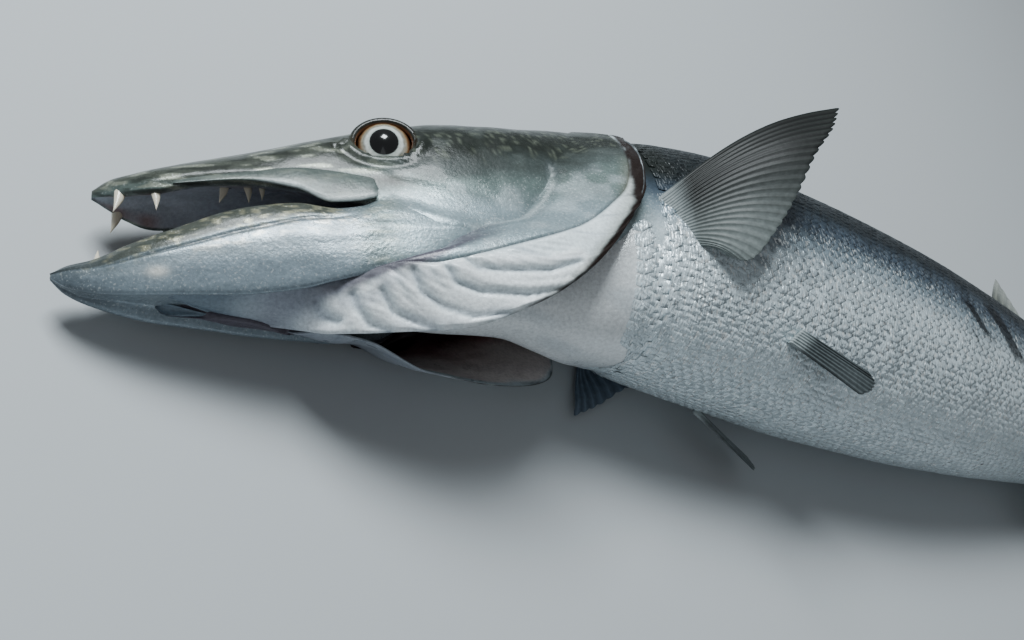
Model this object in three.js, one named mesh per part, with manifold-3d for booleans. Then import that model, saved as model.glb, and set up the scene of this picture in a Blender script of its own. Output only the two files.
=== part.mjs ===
// Great barracuda, whole and life-size, a still model lying on its right side.
// Millimetres, +Z up. The body is drawn straight first, in the fish's own frame:
//   s  distance tailward from the tip of the upper jaw
//   v  height above the midline, towards the back fin
//   u  distance to the left of the midline, towards the viewer once it lies down
// and pose() then lays every point down along the resting line of the body.
import * as THREE from "three";
import { mergeVertices } from "three/addons/utils/BufferGeometryUtils.js";
import Module from "manifold-3d";

const wasm = await Module();
wasm.setup();

// Driving dimensions.
const bodyLength = 895; // snout tip to the root of the tail fin
const headEnd = 252;
const gap = 0.3; // thin cut between neighbouring nodes
const ringCount = 30; // points around a trunk section
const fullness = 2.3; // superellipse exponent of the trunk
const eyeCentre = { s: 124.5, v: 22.5, u: 25 };
const eyeLook = [-0.3, -0.12]; // how far the eyes look forwards and down
const eyeRadius = 13;
const eyeDepth = 9;
const rayHeight = 1; // fin rays raised above the membrane
const foldHeight = 1.2; // folds of the gill membrane

// How high the midline of the resting fish is, from the snout back.
const restHeight = curve([
  [-40, 11], [0, 18.5], [50, 28], [100, 37.3], [150, 45.6], [200, 51.6], [260, 57], [310, 58],
  [400, 54], [500, 51], [600, 45], [700, 36], [800, 24], [880, 15], [960, 8], [1060, 3.4],
  [1120, 3.4],
]);
// How far the tail has turned towards the belly, in degrees.
const bendAngle = curve([[-40, 0], [235, 0], [480, 5.2], [1120, 5.2]]);

// Small tools.
/** Smooth curve through stations [x, y], without overshoot. */
function curve(stations) {
  const x = stations.map((p) => p[0]);
  const y = stations.map((p) => p[1]);
  const last = x.length - 1;
  const rise = [];
  for (let i = 0; i < last; i++) rise.push((y[i + 1] - y[i]) / (x[i + 1] - x[i]));
  const slope = x.map((_, i) => {
    if (i === 0) return rise[0];
    if (i === last) return rise[last - 1];
    if (rise[i - 1] * rise[i] <= 0) return 0;
    const before = x[i] - x[i - 1];
    const after = x[i + 1] - x[i];
    const w1 = 2 * after + before;
    const w2 = after + 2 * before;
    return (w1 + w2) / (w1 / rise[i - 1] + w2 / rise[i]);
  });
  return (at) => {
    if (at <= x[0]) return y[0] + slope[0] * (at - x[0]);
    if (at >= x[last]) return y[last] + slope[last] * (at - x[last]);
    let i = 0;
    while (at > x[i + 1]) i++;
    const h = x[i + 1] - x[i];
    const t = (at - x[i]) / h;
    const t2 = t * t;
    const t3 = t2 * t;
    return (
      y[i] * (2 * t3 - 3 * t2 + 1) + slope[i] * h * (t3 - 2 * t2 + t) +
      y[i + 1] * (3 * t2 - 2 * t3) + slope[i + 1] * h * (t3 - t2)
    );
  };
}

/** One curve for each column of a table whose first column is the station. */
function table(names, rows) {
  const out = {};
  names.forEach((name, column) => {
    out[name] = curve(rows.map((row) => [row[0], row[column + 1]]));
  });
  return out;
}

/** Smooth path through points, asked for by t from 0 to 1. */
function path(points) {
  const last = points.length - 1;
  const axes = [0, 1, 2].map((k) => curve(points.map((p, i) => [i / last, p[k]])));
  return (t) => axes.map((axis) => axis(t));
}

const mix = (a, b, t) => a + (b - a) * t;
const mixPoint = (p, q, t) => p.map((value, k) => mix(value, q[k], t));
const range = (count) => Array.from({ length: count }, (_, i) => i);

function spread(from, to, count) {
  return range(count + 1).map((i) => mix(from, to, i / count));
}

// Laying the fish down.
const lineStep = 4;
const lineStart = -40;
const line = [];
{
  const place = new THREE.Vector3();
  for (let s = lineStart; s <= 1120; s += lineStep) {
    const pitch = Math.asin((restHeight(s + 1) - restHeight(s - 1)) / 2);
    const turn = -THREE.MathUtils.degToRad(bendAngle(s));
    const along = new THREE.Vector3(
      Math.cos(pitch) * Math.cos(turn), Math.cos(pitch) * Math.sin(turn), Math.sin(pitch),
    );
    const back = new THREE.Vector3(-Math.sin(turn), Math.cos(turn), 0);
    const left = new THREE.Vector3().crossVectors(along, back);
    line.push({ place: place.clone(), along, back, left });
    place.addScaledVector(along, lineStep);
    place.z = restHeight(s + lineStep) - restHeight(lineStart);
  }
}

/** A point of the straight fish in its resting place. */
function pose([s, v, u]) {
  const at = THREE.MathUtils.clamp((s - lineStart) / lineStep, 0, line.length - 1.001);
  const i = Math.floor(at);
  const t = at - i;
  const pick = (key) => line[i][key].clone().lerp(line[i + 1][key], t);
  const point = pick("place").addScaledVector(pick("back"), v).addScaledVector(pick("left"), u);
  point.z += restHeight(lineStart);
  return point;
}

// Closed solids.
/** A closed solid from posed points and triangles, turned right side out. */
function solidOf(points, faces) {
  const positions = new Float32Array(points.length * 3);
  points.forEach((p, i) => positions.set([p.x, p.y, p.z], i * 3));
  let volume = 0;
  const cross = new THREE.Vector3();
  for (const [a, b, c] of faces) {
    volume += points[a].dot(cross.crossVectors(points[b], points[c]));
  }
  const triVerts = new Uint32Array(faces.length * 3);
  faces.forEach(([a, b, c], i) => triVerts.set(volume > 0 ? [a, b, c] : [a, c, b], i * 3));
  return new wasm.Manifold(
    new wasm.Mesh({ numProp: 3, vertProperties: positions, triVerts }),
  );
}

/** A solid swept through outlines; outline(s) gives [v, u] corners in order. */
function sweep(stations, outline) {
  const rings = stations.map((s) => outline(s));
  const count = rings[0].length;
  const points = [];
  const faces = [];
  rings.forEach((ring, i) => ring.forEach(([v, u]) => points.push(pose([stations[i], v, u]))));
  for (let i = 0; i + 1 < rings.length; i++) {
    for (let k = 0; k < count; k++) {
      const a = i * count + k;
      const b = i * count + ((k + 1) % count);
      faces.push([a, b, b + count], [a, b + count, a + count]);
    }
  }
  const close = (ring, first, flip) => {
    const flat = ring.map(([v, u]) => new THREE.Vector2(u, v));
    const forward = THREE.ShapeUtils.area(flat) > 0;
    for (const [a, b, c] of THREE.ShapeUtils.triangulateShape(flat, [])) {
      const swap = forward === flip;
      faces.push(swap ? [first + a, first + c, first + b] : [first + a, first + b, first + c]);
    }
  };
  const ringArea = THREE.ShapeUtils.area(rings[0].map(([v, u]) => new THREE.Vector2(u, v)));
  close(rings[0], 0, ringArea > 0);
  close(rings[rings.length - 1], (rings.length - 1) * count, ringArea < 0);
  return solidOf(points, orient(faces));
}

/** Makes every triangle of a closed mesh wind the same way as its neighbours. */
function orient(faces) {
  const edges = new Map();
  faces.forEach((face, i) => {
    for (let k = 0; k < 3; k++) {
      const a = face[k];
      const b = face[(k + 1) % 3];
      const key = a < b ? `${a}_${b}` : `${b}_${a}`;
      if (!edges.has(key)) edges.set(key, []);
      edges.get(key).push([i, a < b]);
    }
  });
  const flipped = new Array(faces.length).fill(null);
  flipped[0] = false;
  const queue = [0];
  while (queue.length) {
    const i = queue.pop();
    const face = faces[i];
    for (let k = 0; k < 3; k++) {
      const a = face[k];
      const b = face[(k + 1) % 3];
      const key = a < b ? `${a}_${b}` : `${b}_${a}`;
      for (const [j, forward] of edges.get(key)) {
        if (j === i || flipped[j] !== null) continue;
        const same = forward === a < b;
        flipped[j] = same !== flipped[i];
        queue.push(j);
      }
    }
  }
  return faces.map(([a, b, c], i) => (flipped[i] ? [a, c, b] : [a, b, c]));
}

/**
 * A curved sheet with thickness. surface(a, b) gives [s, v, u]; thickness(a, b) is
 * taken half to each side, or all inwards when oneSided is set to 1 or -1.
 * lift raises both faces outwards.
 */
function sheet(aValues, bValues, surface, thickness, oneSided = 0, lift = () => 0) {
  const rows = aValues.length;
  const columns = bValues.length;
  const points = [];
  const faces = [];
  const at = (a, b) => pose(surface(a, b));
  const step = 1e-3;
  const outer = [];
  const inner = [];
  for (const a of aValues) {
    for (const b of bValues) {
      const here = at(a, b);
      const alongA = at(a + step, b).sub(at(a - step, b));
      const alongB = at(a, b + step).sub(at(a, b - step));
      const normal = alongA.cross(alongB).normalize();
      const depth = thickness(a, b);
      const flush = oneSided === 0 ? depth / 2 : oneSided > 0 ? 0 : depth;
      const out = flush + oneSided * lift(a, b);
      outer.push(here.clone().addScaledVector(normal, out));
      inner.push(here.clone().addScaledVector(normal, out - depth));
    }
  }
  points.push(...outer, ...inner);
  const half = rows * columns;
  const quad = (a, b, c, d) => faces.push([a, b, c], [a, c, d]);
  for (let i = 0; i + 1 < rows; i++) {
    for (let j = 0; j + 1 < columns; j++) {
      const k = i * columns + j;
      quad(k, k + 1, k + columns + 1, k + columns);
      quad(half + k, half + k + columns, half + k + columns + 1, half + k + 1);
      // both faces are split along the same diagonal
      faces.pop();
      faces.pop();
      faces.push([half + k, half + k + columns + 1, half + k + 1]);
      faces.push([half + k, half + k + columns, half + k + columns + 1]);
    }
  }
  const rim = [];
  for (let j = 0; j < columns; j++) rim.push(j);
  for (let i = 1; i < rows; i++) rim.push(i * columns + columns - 1);
  for (let j = columns - 2; j >= 0; j--) rim.push((rows - 1) * columns + j);
  for (let i = rows - 2; i > 0; i--) rim.push(i * columns);
  rim.forEach((k, n) => {
    const next = rim[(n + 1) % rim.length];
    faces.push([k, half + k, half + next], [k, half + next, next]);
  });
  return solidOf(points, orient(faces));
}

/** A cone-like tooth from its root to its tip, bent a little at the middle. */
function tooth(root, tip, width, sink = 3) {
  const sides = 6;
  const base = pose(root);
  const end = pose(tip);
  const axis = end.clone().sub(base).normalize();
  const across = new THREE.Vector3(0.3, 0.2, 1).cross(axis).normalize();
  const other = axis.clone().cross(across);
  const start = base.clone().addScaledVector(axis, -sink);
  const levels = [[0, 1], [0.6, 0.72]];
  const points = [];
  for (const [t, size] of levels) {
    for (let k = 0; k < sides; k++) {
      const turn = (k / sides) * Math.PI * 2;
      points.push(
        start.clone().lerp(end, t)
          .addScaledVector(across, Math.cos(turn) * width * 0.5 * size)
          .addScaledVector(other, Math.sin(turn) * width * 0.42 * size),
      );
    }
  }
  points.push(end, start);
  const tipIndex = points.length - 2;
  const faces = [];
  for (let k = 0; k < sides; k++) {
    const n = (k + 1) % sides;
    for (let i = 0; i + 1 < levels.length; i++) {
      faces.push([i * sides + k, i * sides + n, (i + 1) * sides + n]);
      faces.push([i * sides + k, (i + 1) * sides + n, (i + 1) * sides + k]);
    }
    const top = (levels.length - 1) * sides;
    faces.push([top + k, top + n, tipIndex], [n, k, tipIndex + 1]);
  }
  return solidOf(points, orient(faces));
}

/**
 * A ball squashed along its outward axis, or a ring, set in the side of the head.
 * squash makes it less tall than long.
 */
function lathe(profile, centre, outward, sides = 20, squash = 1) {
  const middle = pose(centre);
  const axis = pose(centre.map((value, k) => value + outward[k])).sub(middle).normalize();
  const across = new THREE.Vector3(1, 0, 0).cross(axis).normalize();
  const other = axis.clone().cross(across);
  const points = [];
  const faces = [];
  const closedRing = profile[0][0] > 0;
  const rows = closedRing ? profile : profile.slice(1, -1);
  for (const [radius, height] of rows) {
    for (let k = 0; k < sides; k++) {
      const turn = (k / sides) * Math.PI * 2;
      points.push(
        middle.clone().addScaledVector(axis, height)
          .addScaledVector(across, Math.cos(turn) * radius * squash)
          .addScaledVector(other, Math.sin(turn) * radius),
      );
    }
  }
  const bands = closedRing ? rows.length : rows.length - 1;
  for (let i = 0; i < bands; i++) {
    const below = i * sides;
    const above = ((i + 1) % rows.length) * sides;
    for (let k = 0; k < sides; k++) {
      const n = (k + 1) % sides;
      faces.push([below + k, below + n, above + n], [below + k, above + n, above + k]);
    }
  }
  if (!closedRing) {
    const first = points.push(middle.clone().addScaledVector(axis, profile[0][1])) - 1;
    const end = points.push(
      middle.clone().addScaledVector(axis, profile[profile.length - 1][1])) - 1;
    const top = (rows.length - 1) * sides;
    for (let k = 0; k < sides; k++) {
      const n = (k + 1) % sides;
      faces.push([n, k, first], [top + k, top + n, end]);
    }
  }
  return solidOf(points, orient(faces));
}

/** The same solid with every corner moved outwards, used to cut a clearance. */
function swell(solid, distance) {
  const mesh = solid.getMesh();
  const count = mesh.vertProperties.length / mesh.numProp;
  const geometry = new THREE.BufferGeometry();
  const positions = new Float32Array(count * 3);
  for (let i = 0; i < count; i++) {
    for (let k = 0; k < 3; k++) positions[i * 3 + k] = mesh.vertProperties[i * mesh.numProp + k];
  }
  geometry.setAttribute("position", new THREE.BufferAttribute(positions, 3));
  geometry.setIndex(new THREE.BufferAttribute(new Uint32Array(mesh.triVerts), 1));
  geometry.computeVertexNormals();
  const normal = geometry.getAttribute("normal");
  for (let i = 0; i < count; i++) {
    positions[i * 3] += normal.getX(i) * distance;
    positions[i * 3 + 1] += normal.getY(i) * distance;
    positions[i * 3 + 2] += normal.getZ(i) * distance;
  }
  return new wasm.Manifold(
    new wasm.Mesh({ numProp: 3, vertProperties: positions, triVerts: new Uint32Array(mesh.triVerts) }),
  );
}

const without = (solid, ...others) =>
  others.reduce((rest, other) => rest.subtract(swell(other, gap)), solid);

// The trunk.
const trunk = table(["top", "bottom", "half"], [
  [252, 63, -62, 48],
  [275, 68, -67, 51],
  [330, 73, -74, 55],
  [400, 73, -78, 57],
  [480, 70, -77, 56],
  [560, 65, -71, 52],
  [640, 59, -61, 46],
  [720, 49, -50, 37],
  [790, 39, -39, 27],
  [850, 32, -32, 19],
  [895, 34, -34, 12],
]);

const power = (value, exponent) => Math.sign(value) * Math.abs(value) ** exponent;

function trunkOutline(s) {
  const top = trunk.top(s);
  const bottom = trunk.bottom(s);
  const half = trunk.half(s);
  return range(ringCount).map((k) => {
    const turn = (k / ringCount) * Math.PI * 2;
    const rise = power(Math.cos(turn), 2 / fullness);
    return [rise > 0 ? rise * top : -rise * bottom, power(Math.sin(turn), 2 / fullness) * half];
  });
}

// The head.
const skull = table(["top", "wide", "wideV", "rimOut", "rimV", "rimIn", "vault"], [
  [3.6, -2.6, 1.4, -4.0, 1.1, -5.0, 0.6, -4.7],
  [10, 2.4, 7.4, -3.2, 6.2, -6.4, 3.4, -5.4],
  [18, 4.8, 12.3, -3.4, 11.6, -8.0, 7.5, -4.2],
  [26, 7.2, 16.0, -3.2, 15.4, -8.4, 11.0, -2.2],
  [45, 12.8, 20.0, -1.2, 19.0, -4.4, 14.5, 0.8],
  [65, 19.0, 24.0, 1.0, 22.5, -3.2, 17.5, 3.5],
  [83, 25.0, 28.0, 4.0, 26.5, -5.0, 20.5, 4.0],
  [100, 30.5, 31.5, 7.0, 30.0, -9.0, 23.5, 3.5],
  [122, 37.5, 35.0, 11.0, 35.0, -14.0, 27.0, 0.0],
  [148, 44.0, 41.5, 4.0, 42.0, -25.0, 30.0, -7.0],
  [165, 46.5, 44.0, 2.0, 43.5, -27.0, 28.0, -18.0],
  [178, 48.5, 45.0, 4.0, 43.0, -28.0, 24.0, -27.0],
  [190, 50.5, 44.5, 8.0, 37.0, -29.0, 20.0, -29.0],
  [204, 54.0, 43.5, 10.0, 33.0, -29.5, 18.0, -29.5],
  [225, 59.0, 44.0, 6.0, 33.0, -29.5, 18.0, -29.5],
  [252, 63.0, 46.5, 0.0, 34.0, -29.5, 18.0, -29.5],
]);
const headFullness = curve([[0, 2.0], [30, 2.2], [100, 2.5], [160, 2.9], [252, 2.5]]);

function headOutline(s) {
  const q = Object.fromEntries(Object.entries(skull).map(([name, value]) => [name, value(s)]));
  const exponent = 2 / headFullness(s);
  const side = [];
  for (const k of range(8)) {
    const turn = (k / 8) * Math.PI * 0.5;
    side.push([
      mix(q.wideV, q.top, Math.cos(turn) ** exponent), q.wide * Math.sin(turn) ** exponent,
    ]);
  }
  for (const k of range(5)) {
    const t = k / 4;
    side.push([mix(q.wideV, q.rimV, t), mix(q.wide, q.rimOut, t * t)]);
  }
  side.push([q.rimV, q.rimIn]);
  for (const t of [0.35, 0.7]) {
    side.push([mix(q.rimV, q.vault, Math.sin(t * Math.PI * 0.5)), q.rimIn * (1 - t)]);
  }
  const left = side.slice(1);
  return [
    [q.top, 0], ...left, [q.vault - 1e-3, 0], ...left.reverse().map(([v, u]) => [v, -u]),
  ];
}

const jaw = table(["lipU", "lipV", "midU", "lowU", "lowV", "under", "floor"], [
  [-9.5, 1.2, -44.6, 1.4, 1.0, -46.4, -46.2, -45.2],
  [-4, 5.2, -42.8, 5.6, 3.4, -51.0, -50.0, -46.5],
  [5, 8.4, -40.8, 9.4, 5.6, -54.2, -52.5, -47.0],
  [18, 14.0, -35.6, 15.4, 9.2, -56.2, -52.5, -46.5],
  [32, 18.6, -30.2, 20.4, 12.6, -57.0, -52.0, -45.0],
  [63, 26.0, -19.2, 27.4, 17.8, -57.0, -51.0, -42.0],
  [84, 29.6, -16.6, 31.8, 23.2, -55.2, -50.0, -39.5],
  [98, 31.8, -18.8, 34.6, 28.6, -52.8, -48.5, -38.0],
  [110, 33.6, -17.0, 37.2, 33.0, -50.6, -46.5, -37.0],
  [118, 34.6, -13.8, 38.6, 35.0, -49.0, -45.0, -36.4],
  [134, 38.2, -20.2, 41.4, 38.4, -44.6, -41.5, -35.0],
  [150, 42.0, -25.8, 43.2, 41.0, -35.4, -34.8, -31.4],
  [157, 42.6, -26.8, 43.4, 41.2, -32.4, -32.2, -30.2],
]);

function jawOutline(s) {
  const q = Object.fromEntries(Object.entries(jaw).map(([name, value]) => [name, value(s)]));
  const wall = Math.min(5, q.lipU * 0.5);
  const depth = q.lipV - q.lowV;
  const side = [
    [q.lipV, q.lipU],
    [q.lipV - depth * 0.22, mix(q.lipU, q.midU, 0.75)],
    [q.lipV - depth * 0.45, q.midU],
    [q.lipV - depth * 0.72, mix(q.midU, q.lowU, 0.32)],
    [q.lipV - depth * 0.92, mix(q.midU, q.lowU, 0.72)],
    [q.lowV, q.lowU * 0.97],
    [mix(q.lowV, q.under, 0.35), q.lowU - wall * 0.62],
    [q.under, Math.max(q.lowU - wall * 1.3, q.lowU * 0.35)],
    [q.under, 0],
    [q.floor, 0],
    [q.floor, Math.max(q.lipU - wall * 2.6, q.lipU * 0.3)],
    [mix(q.floor, q.lipV, 0.42), q.lipU - wall * 1.35],
    [q.lipV - Math.min(1, depth * 0.2), q.lipU - wall],
    [q.lipV + Math.min(0.6, depth * 0.1), q.lipU - wall * 0.5],
  ];
  const outside = side.slice(0, 9);
  const inside = side.slice(9);
  return [
    ...outside,
    ...outside.slice(0, 8).reverse().map(([v, u]) => [v, -u]),
    ...inside.slice(1).reverse().map(([v, u]) => [v, -u]),
    ...inside,
  ];
}

const neck = table(["top", "bottom", "half"], [
  [108, -50.5, -54.5, 4],
  [122, -45.5, -55.5, 9],
  [150, -36.5, -55.0, 15],
  [190, -28.5, -52.5, 21],
  [212, -28.0, -56.5, 28],
  [230, -28.0, -60.0, 38],
  [252, -28.0, -61.8, 46.8],
]);

function neckOutline(s) {
  const top = neck.top(s);
  const bottom = neck.bottom(s);
  const half = neck.half(s);
  const out = [[top, 0], [top, half * 0.8]];
  for (const k of range(6)) {
    const turn = (k / 6) * Math.PI * 0.5;
    out.push([mix(top - 2, bottom, Math.sin(turn) ** 0.9), half * Math.cos(turn) ** 0.8]);
  }
  return [...out, [bottom, 0], ...out.slice(1).reverse().map(([v, u]) => [v, -u])];
}

const tonguePad = table(["top", "bottom", "half"], [
  [52, -39.0, -42.5, 3], [60, -37.0, -43.0, 6.5], [90, -33.5, -39.5, 9],
  [120, -30.0, -37.0, 11], [136, -28.5, -35.5, 12],
]);

function tongueOutline(s) {
  const half = tonguePad.half(s);
  return range(12).map((k) => {
    const turn = (k / 12) * Math.PI * 2;
    const rise = Math.cos(turn);
    return [
      mix(tonguePad.bottom(s), tonguePad.top(s), (rise + 1) / 2), Math.sin(turn) * half,
    ];
  });
}

const upperLip = table(["top", "bottom", "u", "thick"], [
  [34, -3.6, -6.4, 18.0, 1.4],
  [60, 1.8, -3.6, 23.2, 2.4],
  [83, 3.0, -8.6, 28.2, 3.0],
  [97, 0.8, -16.6, 31.4, 3.2],
  [108, -2.0, -15.4, 33.6, 3.2],
  [114, -3.8, -13.0, 34.8, 3.0],
  [116.5, -5.0, -12.0, 35.2, 2.4],
]);

function upperLipOutline(side) {
  return (s) => range(8).map((k) => {
    const turn = (k / 8) * Math.PI * 2;
    const top = upperLip.top(s);
    const bottom = upperLip.bottom(s);
    const lean = Math.cos(turn) < 0 ? 0.8 : -1.0;
    return [
      mix(bottom, top, (power(Math.cos(turn), 0.8) + 1) / 2),
      side * (upperLip.u(s) + lean * Math.abs(Math.cos(turn)) +
        power(Math.sin(turn), 0.8) * upperLip.thick(s) * 0.5),
    ];
  });
}

// Gill flaps.
// Each rib runs from the cheek (first) over the edge of the cover (second) to the free
// rim of the membrane (third), as the folds of a real flap do.
const leftRibs = [
  [[30, -52.6, 6], [31, -53.8, 3.5], [30, -53.6, 0.5]],
  [[46, -52.4, 9.5], [47, -54.8, 4], [46, -55, -2.5]],
  [[66, -52.2, 14.5], [67, -56, 4], [66, -56.5, -7]],
  [[84, -51, 20], [86, -57.5, 10], [84, -59, -4.5]],
  [[100, -49.5, 26], [104, -58.8, 23], [100, -69, 12]],
  [[116, -47.5, 35], [121.5, -52.5, 39], [120, -72.5, 23]],
  [[134, -43, 40], [145, -47.5, 47.8], [147, -74, 34]],
  [[149, -32, 42], [168, -40, 52.5], [179, -64, 47]],
  [[163, -24, 43], [190, -31.5, 55.5], [201, -49.5, 54.5]],
  [[177, -18, 43], [207, -22, 56], [215, -36, 57]],
  [[188, -4, 43], [222, -9, 55.5], [227, -20, 57]],
  [[196, 12, 43], [234, 5, 53.5], [239, -1, 54.5]],
  [[204, 27, 41], [241, 24, 49.5], [246.5, 22, 49.5]],
  [[214, 42, 36], [244.5, 40, 42.6], [250, 38, 43.5]],
  [[226, 53, 29.5], [244, 51.5, 35.6], [250.5, 50, 37]],
];
const rightRim = [
  [30, -53.6, -2], [46, -54, -5], [66, -55.3, -10], [84, -57, -10],
  [104, -60.5, -3], [122, -62.5, -6], [151, -71.5, -13], [181, -70.5, -22], [211, -66, -29],
  [228.5, -58.3, -34], [239, -43, -43], [243, -18, -50], [247, 12, -50],
  [250, 36, -45], [250.5, 50, -37],
];
// Just behind the chin the right flap is drawn in under the jaw.
const rightDrawnIn = { 4: 0.61, 5: 0.66 };
const rightRibs = leftRibs.map(([root, middle], i) => [
  [root[0], root[1], -root[2]],
  [middle[0], middle[1], -mix(middle[2], Math.min(middle[2], 47.5), 0.9) * (rightDrawnIn[i] ?? 1)],
  rightRim[i],
]);

/** The flap as a surface: t runs along it from the chin to the nape, w across it. */
function flapSurface(ribs) {
  const root = path(ribs.map((rib) => rib[0]));
  const middle = path(ribs.map((rib) => rib[1]));
  const rim = path(ribs.map((rib) => rib[2]));
  return (t, w) => {
    const a = root(t);
    const b = middle(t);
    const c = rim(t);
    const l0 = 2 * (w - 0.5) * (w - 1);
    const l1 = -4 * w * (w - 1);
    const l2 = 2 * w * (w - 0.5);
    return a.map((_, k) => a[k] * l0 + b[k] * l1 + c[k] * l2);
  };
}

const leftFlap = flapSurface(leftRibs);
const rightFlap = flapSurface(rightRibs);
// Where the edge of the bony cover runs across the flap; in front there is only membrane.
const coverFrom = 5 / 14;
function coverEdge(t) {
  const share = Math.min(1, Math.max(0, (t - coverFrom + 0.05) / 0.1));
  return 0.5 * share * share * (3 - 2 * share);
}

/** Folds of the membrane, that start at the cover and bend round to follow the rim. */
function folds(t, w) {
  const across = (w - coverEdge(t)) / (1 - coverEdge(t));
  const phase = 12 * (t - 0.07 * Math.log(1 / (1.06 - across)));
  const fade = Math.sin(Math.PI * Math.min(1, across)) * Math.min(1, t * 3, (1 - t) * 2);
  return foldHeight * fade * (phase - Math.floor(phase));
}

function cover(surface, side) {
  const rowsFrom = coverFrom - 0.02;
  return sheet(
    spread(rowsFrom, 1, 16), spread(0, 1, 4),
    (t, w) => surface(t, w * (coverEdge(t) - 0.006)), (t, w) => mix(2.8, 1.7, w), side,
  );
}

function membrane(surface, side) {
  return sheet(
    spread(0.01, 1, 36), spread(0, 1, 6),
    (t, w) => surface(t, mix(coverEdge(t) + 0.006, 1, w)),
    (t, w) => mix(1.7, 1.1, w), side,
    (t, w) => folds(t, mix(coverEdge(t) + 0.006, 1, w)),
  );
}

// Fins.
/**
 * A fin whose rays fan out from the root line to the outer edge.
 * bow(a, r) moves the middle of a ray; a runs along the root, r out along the ray.
 */
function fin({ root, edge, rays, thick, bow = () => [0, 0, 0], rows = 5, sink = 0 }) {
  const rootPath = path(root);
  const edgePath = path(edge);
  const columns = rays * 2;
  const surface = (a, r) => {
    const start = rootPath(a);
    const end = edgePath(a);
    const shift = bow(a, r);
    return start.map((value, k) => mix(value, end[k], r) + shift[k]);
  };
  const ridge = (a, r) =>
    rayHeight * (1 - r * 0.6) * Math.abs(Math.sin(a * columns * Math.PI * 0.5)) ** 0.7;
  return sheet(
    spread(0, 1, columns), spread(-sink, 1, rows), surface,
    (a, r) => mix(thick, 0.7, Math.min(1, Math.max(0, r)) ** 0.8) + ridge(a, r),
  );
}

const sag = (height) => -0.0011 * height * height;

const fins = {
  caudal_fin: {
    root: [[893, 31, 0], [897, 12, 0], [897, -12, 0], [893, -31, 0]],
    edge: [
      [1056, 112, 0], [1030, 80, 0], [985, 38, 0], [960, 4, 0], [985, -34, 0],
      [1028, -78, 0], [1050, -108, 0],
    ],
    rays: 14, thick: 5.5, rows: 6, sink: 0.02,
    bow: (a, r) => [0, 22 * (0.5 - a) * Math.sin(Math.PI * r) * Math.abs(1 - 2 * a), 0],
  },
  second_dorsal_fin: {
    root: [[655, 53, 0], [695, 48, 0], [738, 42, 0]],
    edge: [[722, 141, sag(90)], [728, 110, sag(62)], [742, 84, sag(40)], [768, 72, sag(30)]],
    rays: 9, thick: 4.4, rows: 4, sink: 0.05,
    bow: (a, r) => [-7 * (1 - a) * Math.sin(Math.PI * r), 3 * Math.sin(Math.PI * r), 0],
  },
  anal_fin: {
    root: [[664, -54, 0], [702, -49, 0], [742, -42, 0]],
    edge: [[722, -133, sag(80)], [730, -106, sag(57)], [746, -82, sag(38)], [770, -71, sag(29)]],
    rays: 9, thick: 4.4, rows: 4, sink: 0.05,
    bow: (a, r) => [-7 * (1 - a) * Math.sin(Math.PI * r), -3 * Math.sin(Math.PI * r), 0],
  },
  first_dorsal_fin: {
    root: [[388, 69, 0], [430, 68, 0], [472, 66, 0]],
    edge: [[404, 77, 1], [462, 78, 1.5], [524, 70.5, 1.5]],
    rays: 5, thick: 4, rows: 2, sink: 0.2,
  },
  pectoral_fin_left: {
    root: [[255, 7, 46.5], [264, -5, 47.5], [273, -18, 46.5]],
    edge: [
      [338, 55, 103], [329, 38, 102], [318, 20, 95], [310, 0, 85], [301, -17, 75],
      [290, -31, 62], [283, -26, 55],
    ],
    rays: 12, thick: 3.4, rows: 5, sink: 0.05,
    bow: (a, r) => [0, 7 * (1 - a) * Math.sin(Math.PI * r), 3 * Math.sin(Math.PI * r)],
  },
  pectoral_fin_right: {
    root: [[273, -18, -46.5], [264, -8, -47.5], [257, 2, -46.5]],
    edge: [
      [256, -69, -52], [276, -60, -53], [301, -46, -54], [324, -38, -54.5],
      [338, -34, -55],
    ],
    rays: 12, thick: 3.0, rows: 5, sink: 0.05,
    bow: (a, r) => [0, 0, -4.5 * Math.sin(Math.PI * Math.min(1, r * 1.2))],
  },
  pelvic_fin_left: {
    root: [[334, -59, 40], [338, -55, 42.5], [342, -51, 44.5]],
    edge: [[380, -78, 42], [388, -75, 45], [390, -71, 47], [384, -67, 49]],
    rays: 7, thick: 3.2, rows: 4, sink: 0.08,
  },
  pelvic_fin_right: {
    root: [[334, -67, -31], [338, -64, -35], [342, -61, -38]],
    edge: [[380, -92, -36], [388, -86, -41], [389, -79, -45], [384, -73, -48]],
    rays: 7, thick: 3.2, rows: 4, sink: 0.08,
  },
};

// Putting the nodes together.
const cut = gap / 2;
const solids = {};
const trunkParts = {
  shoulder: [headEnd, 332, 4],
  torso_front: [332, 450, 5],
  torso_middle: [450, 570, 5],
  torso_rear: [570, 700, 6],
  tail_base: [700, bodyLength, 8],
};
for (const [name, [from, to, steps]] of Object.entries(trunkParts)) {
  solids[name] = sweep(spread(from + cut, to - cut, steps), trunkOutline);
}

const eyeProfile = range(7).map((k) => {
  const turn = (k / 6) * Math.PI;
  return [eyeRadius * Math.sin(turn), -eyeDepth * Math.cos(turn)];
});
eyeProfile[0][0] = 0;
eyeProfile[6][0] = 0;
const rimProfile = range(6).map((k) => {
  const turn = (k / 6) * Math.PI * 2;
  return [eyeRadius + 1.1 + 1.9 * Math.cos(turn), 4 + 2.2 * Math.sin(turn)];
});

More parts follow.
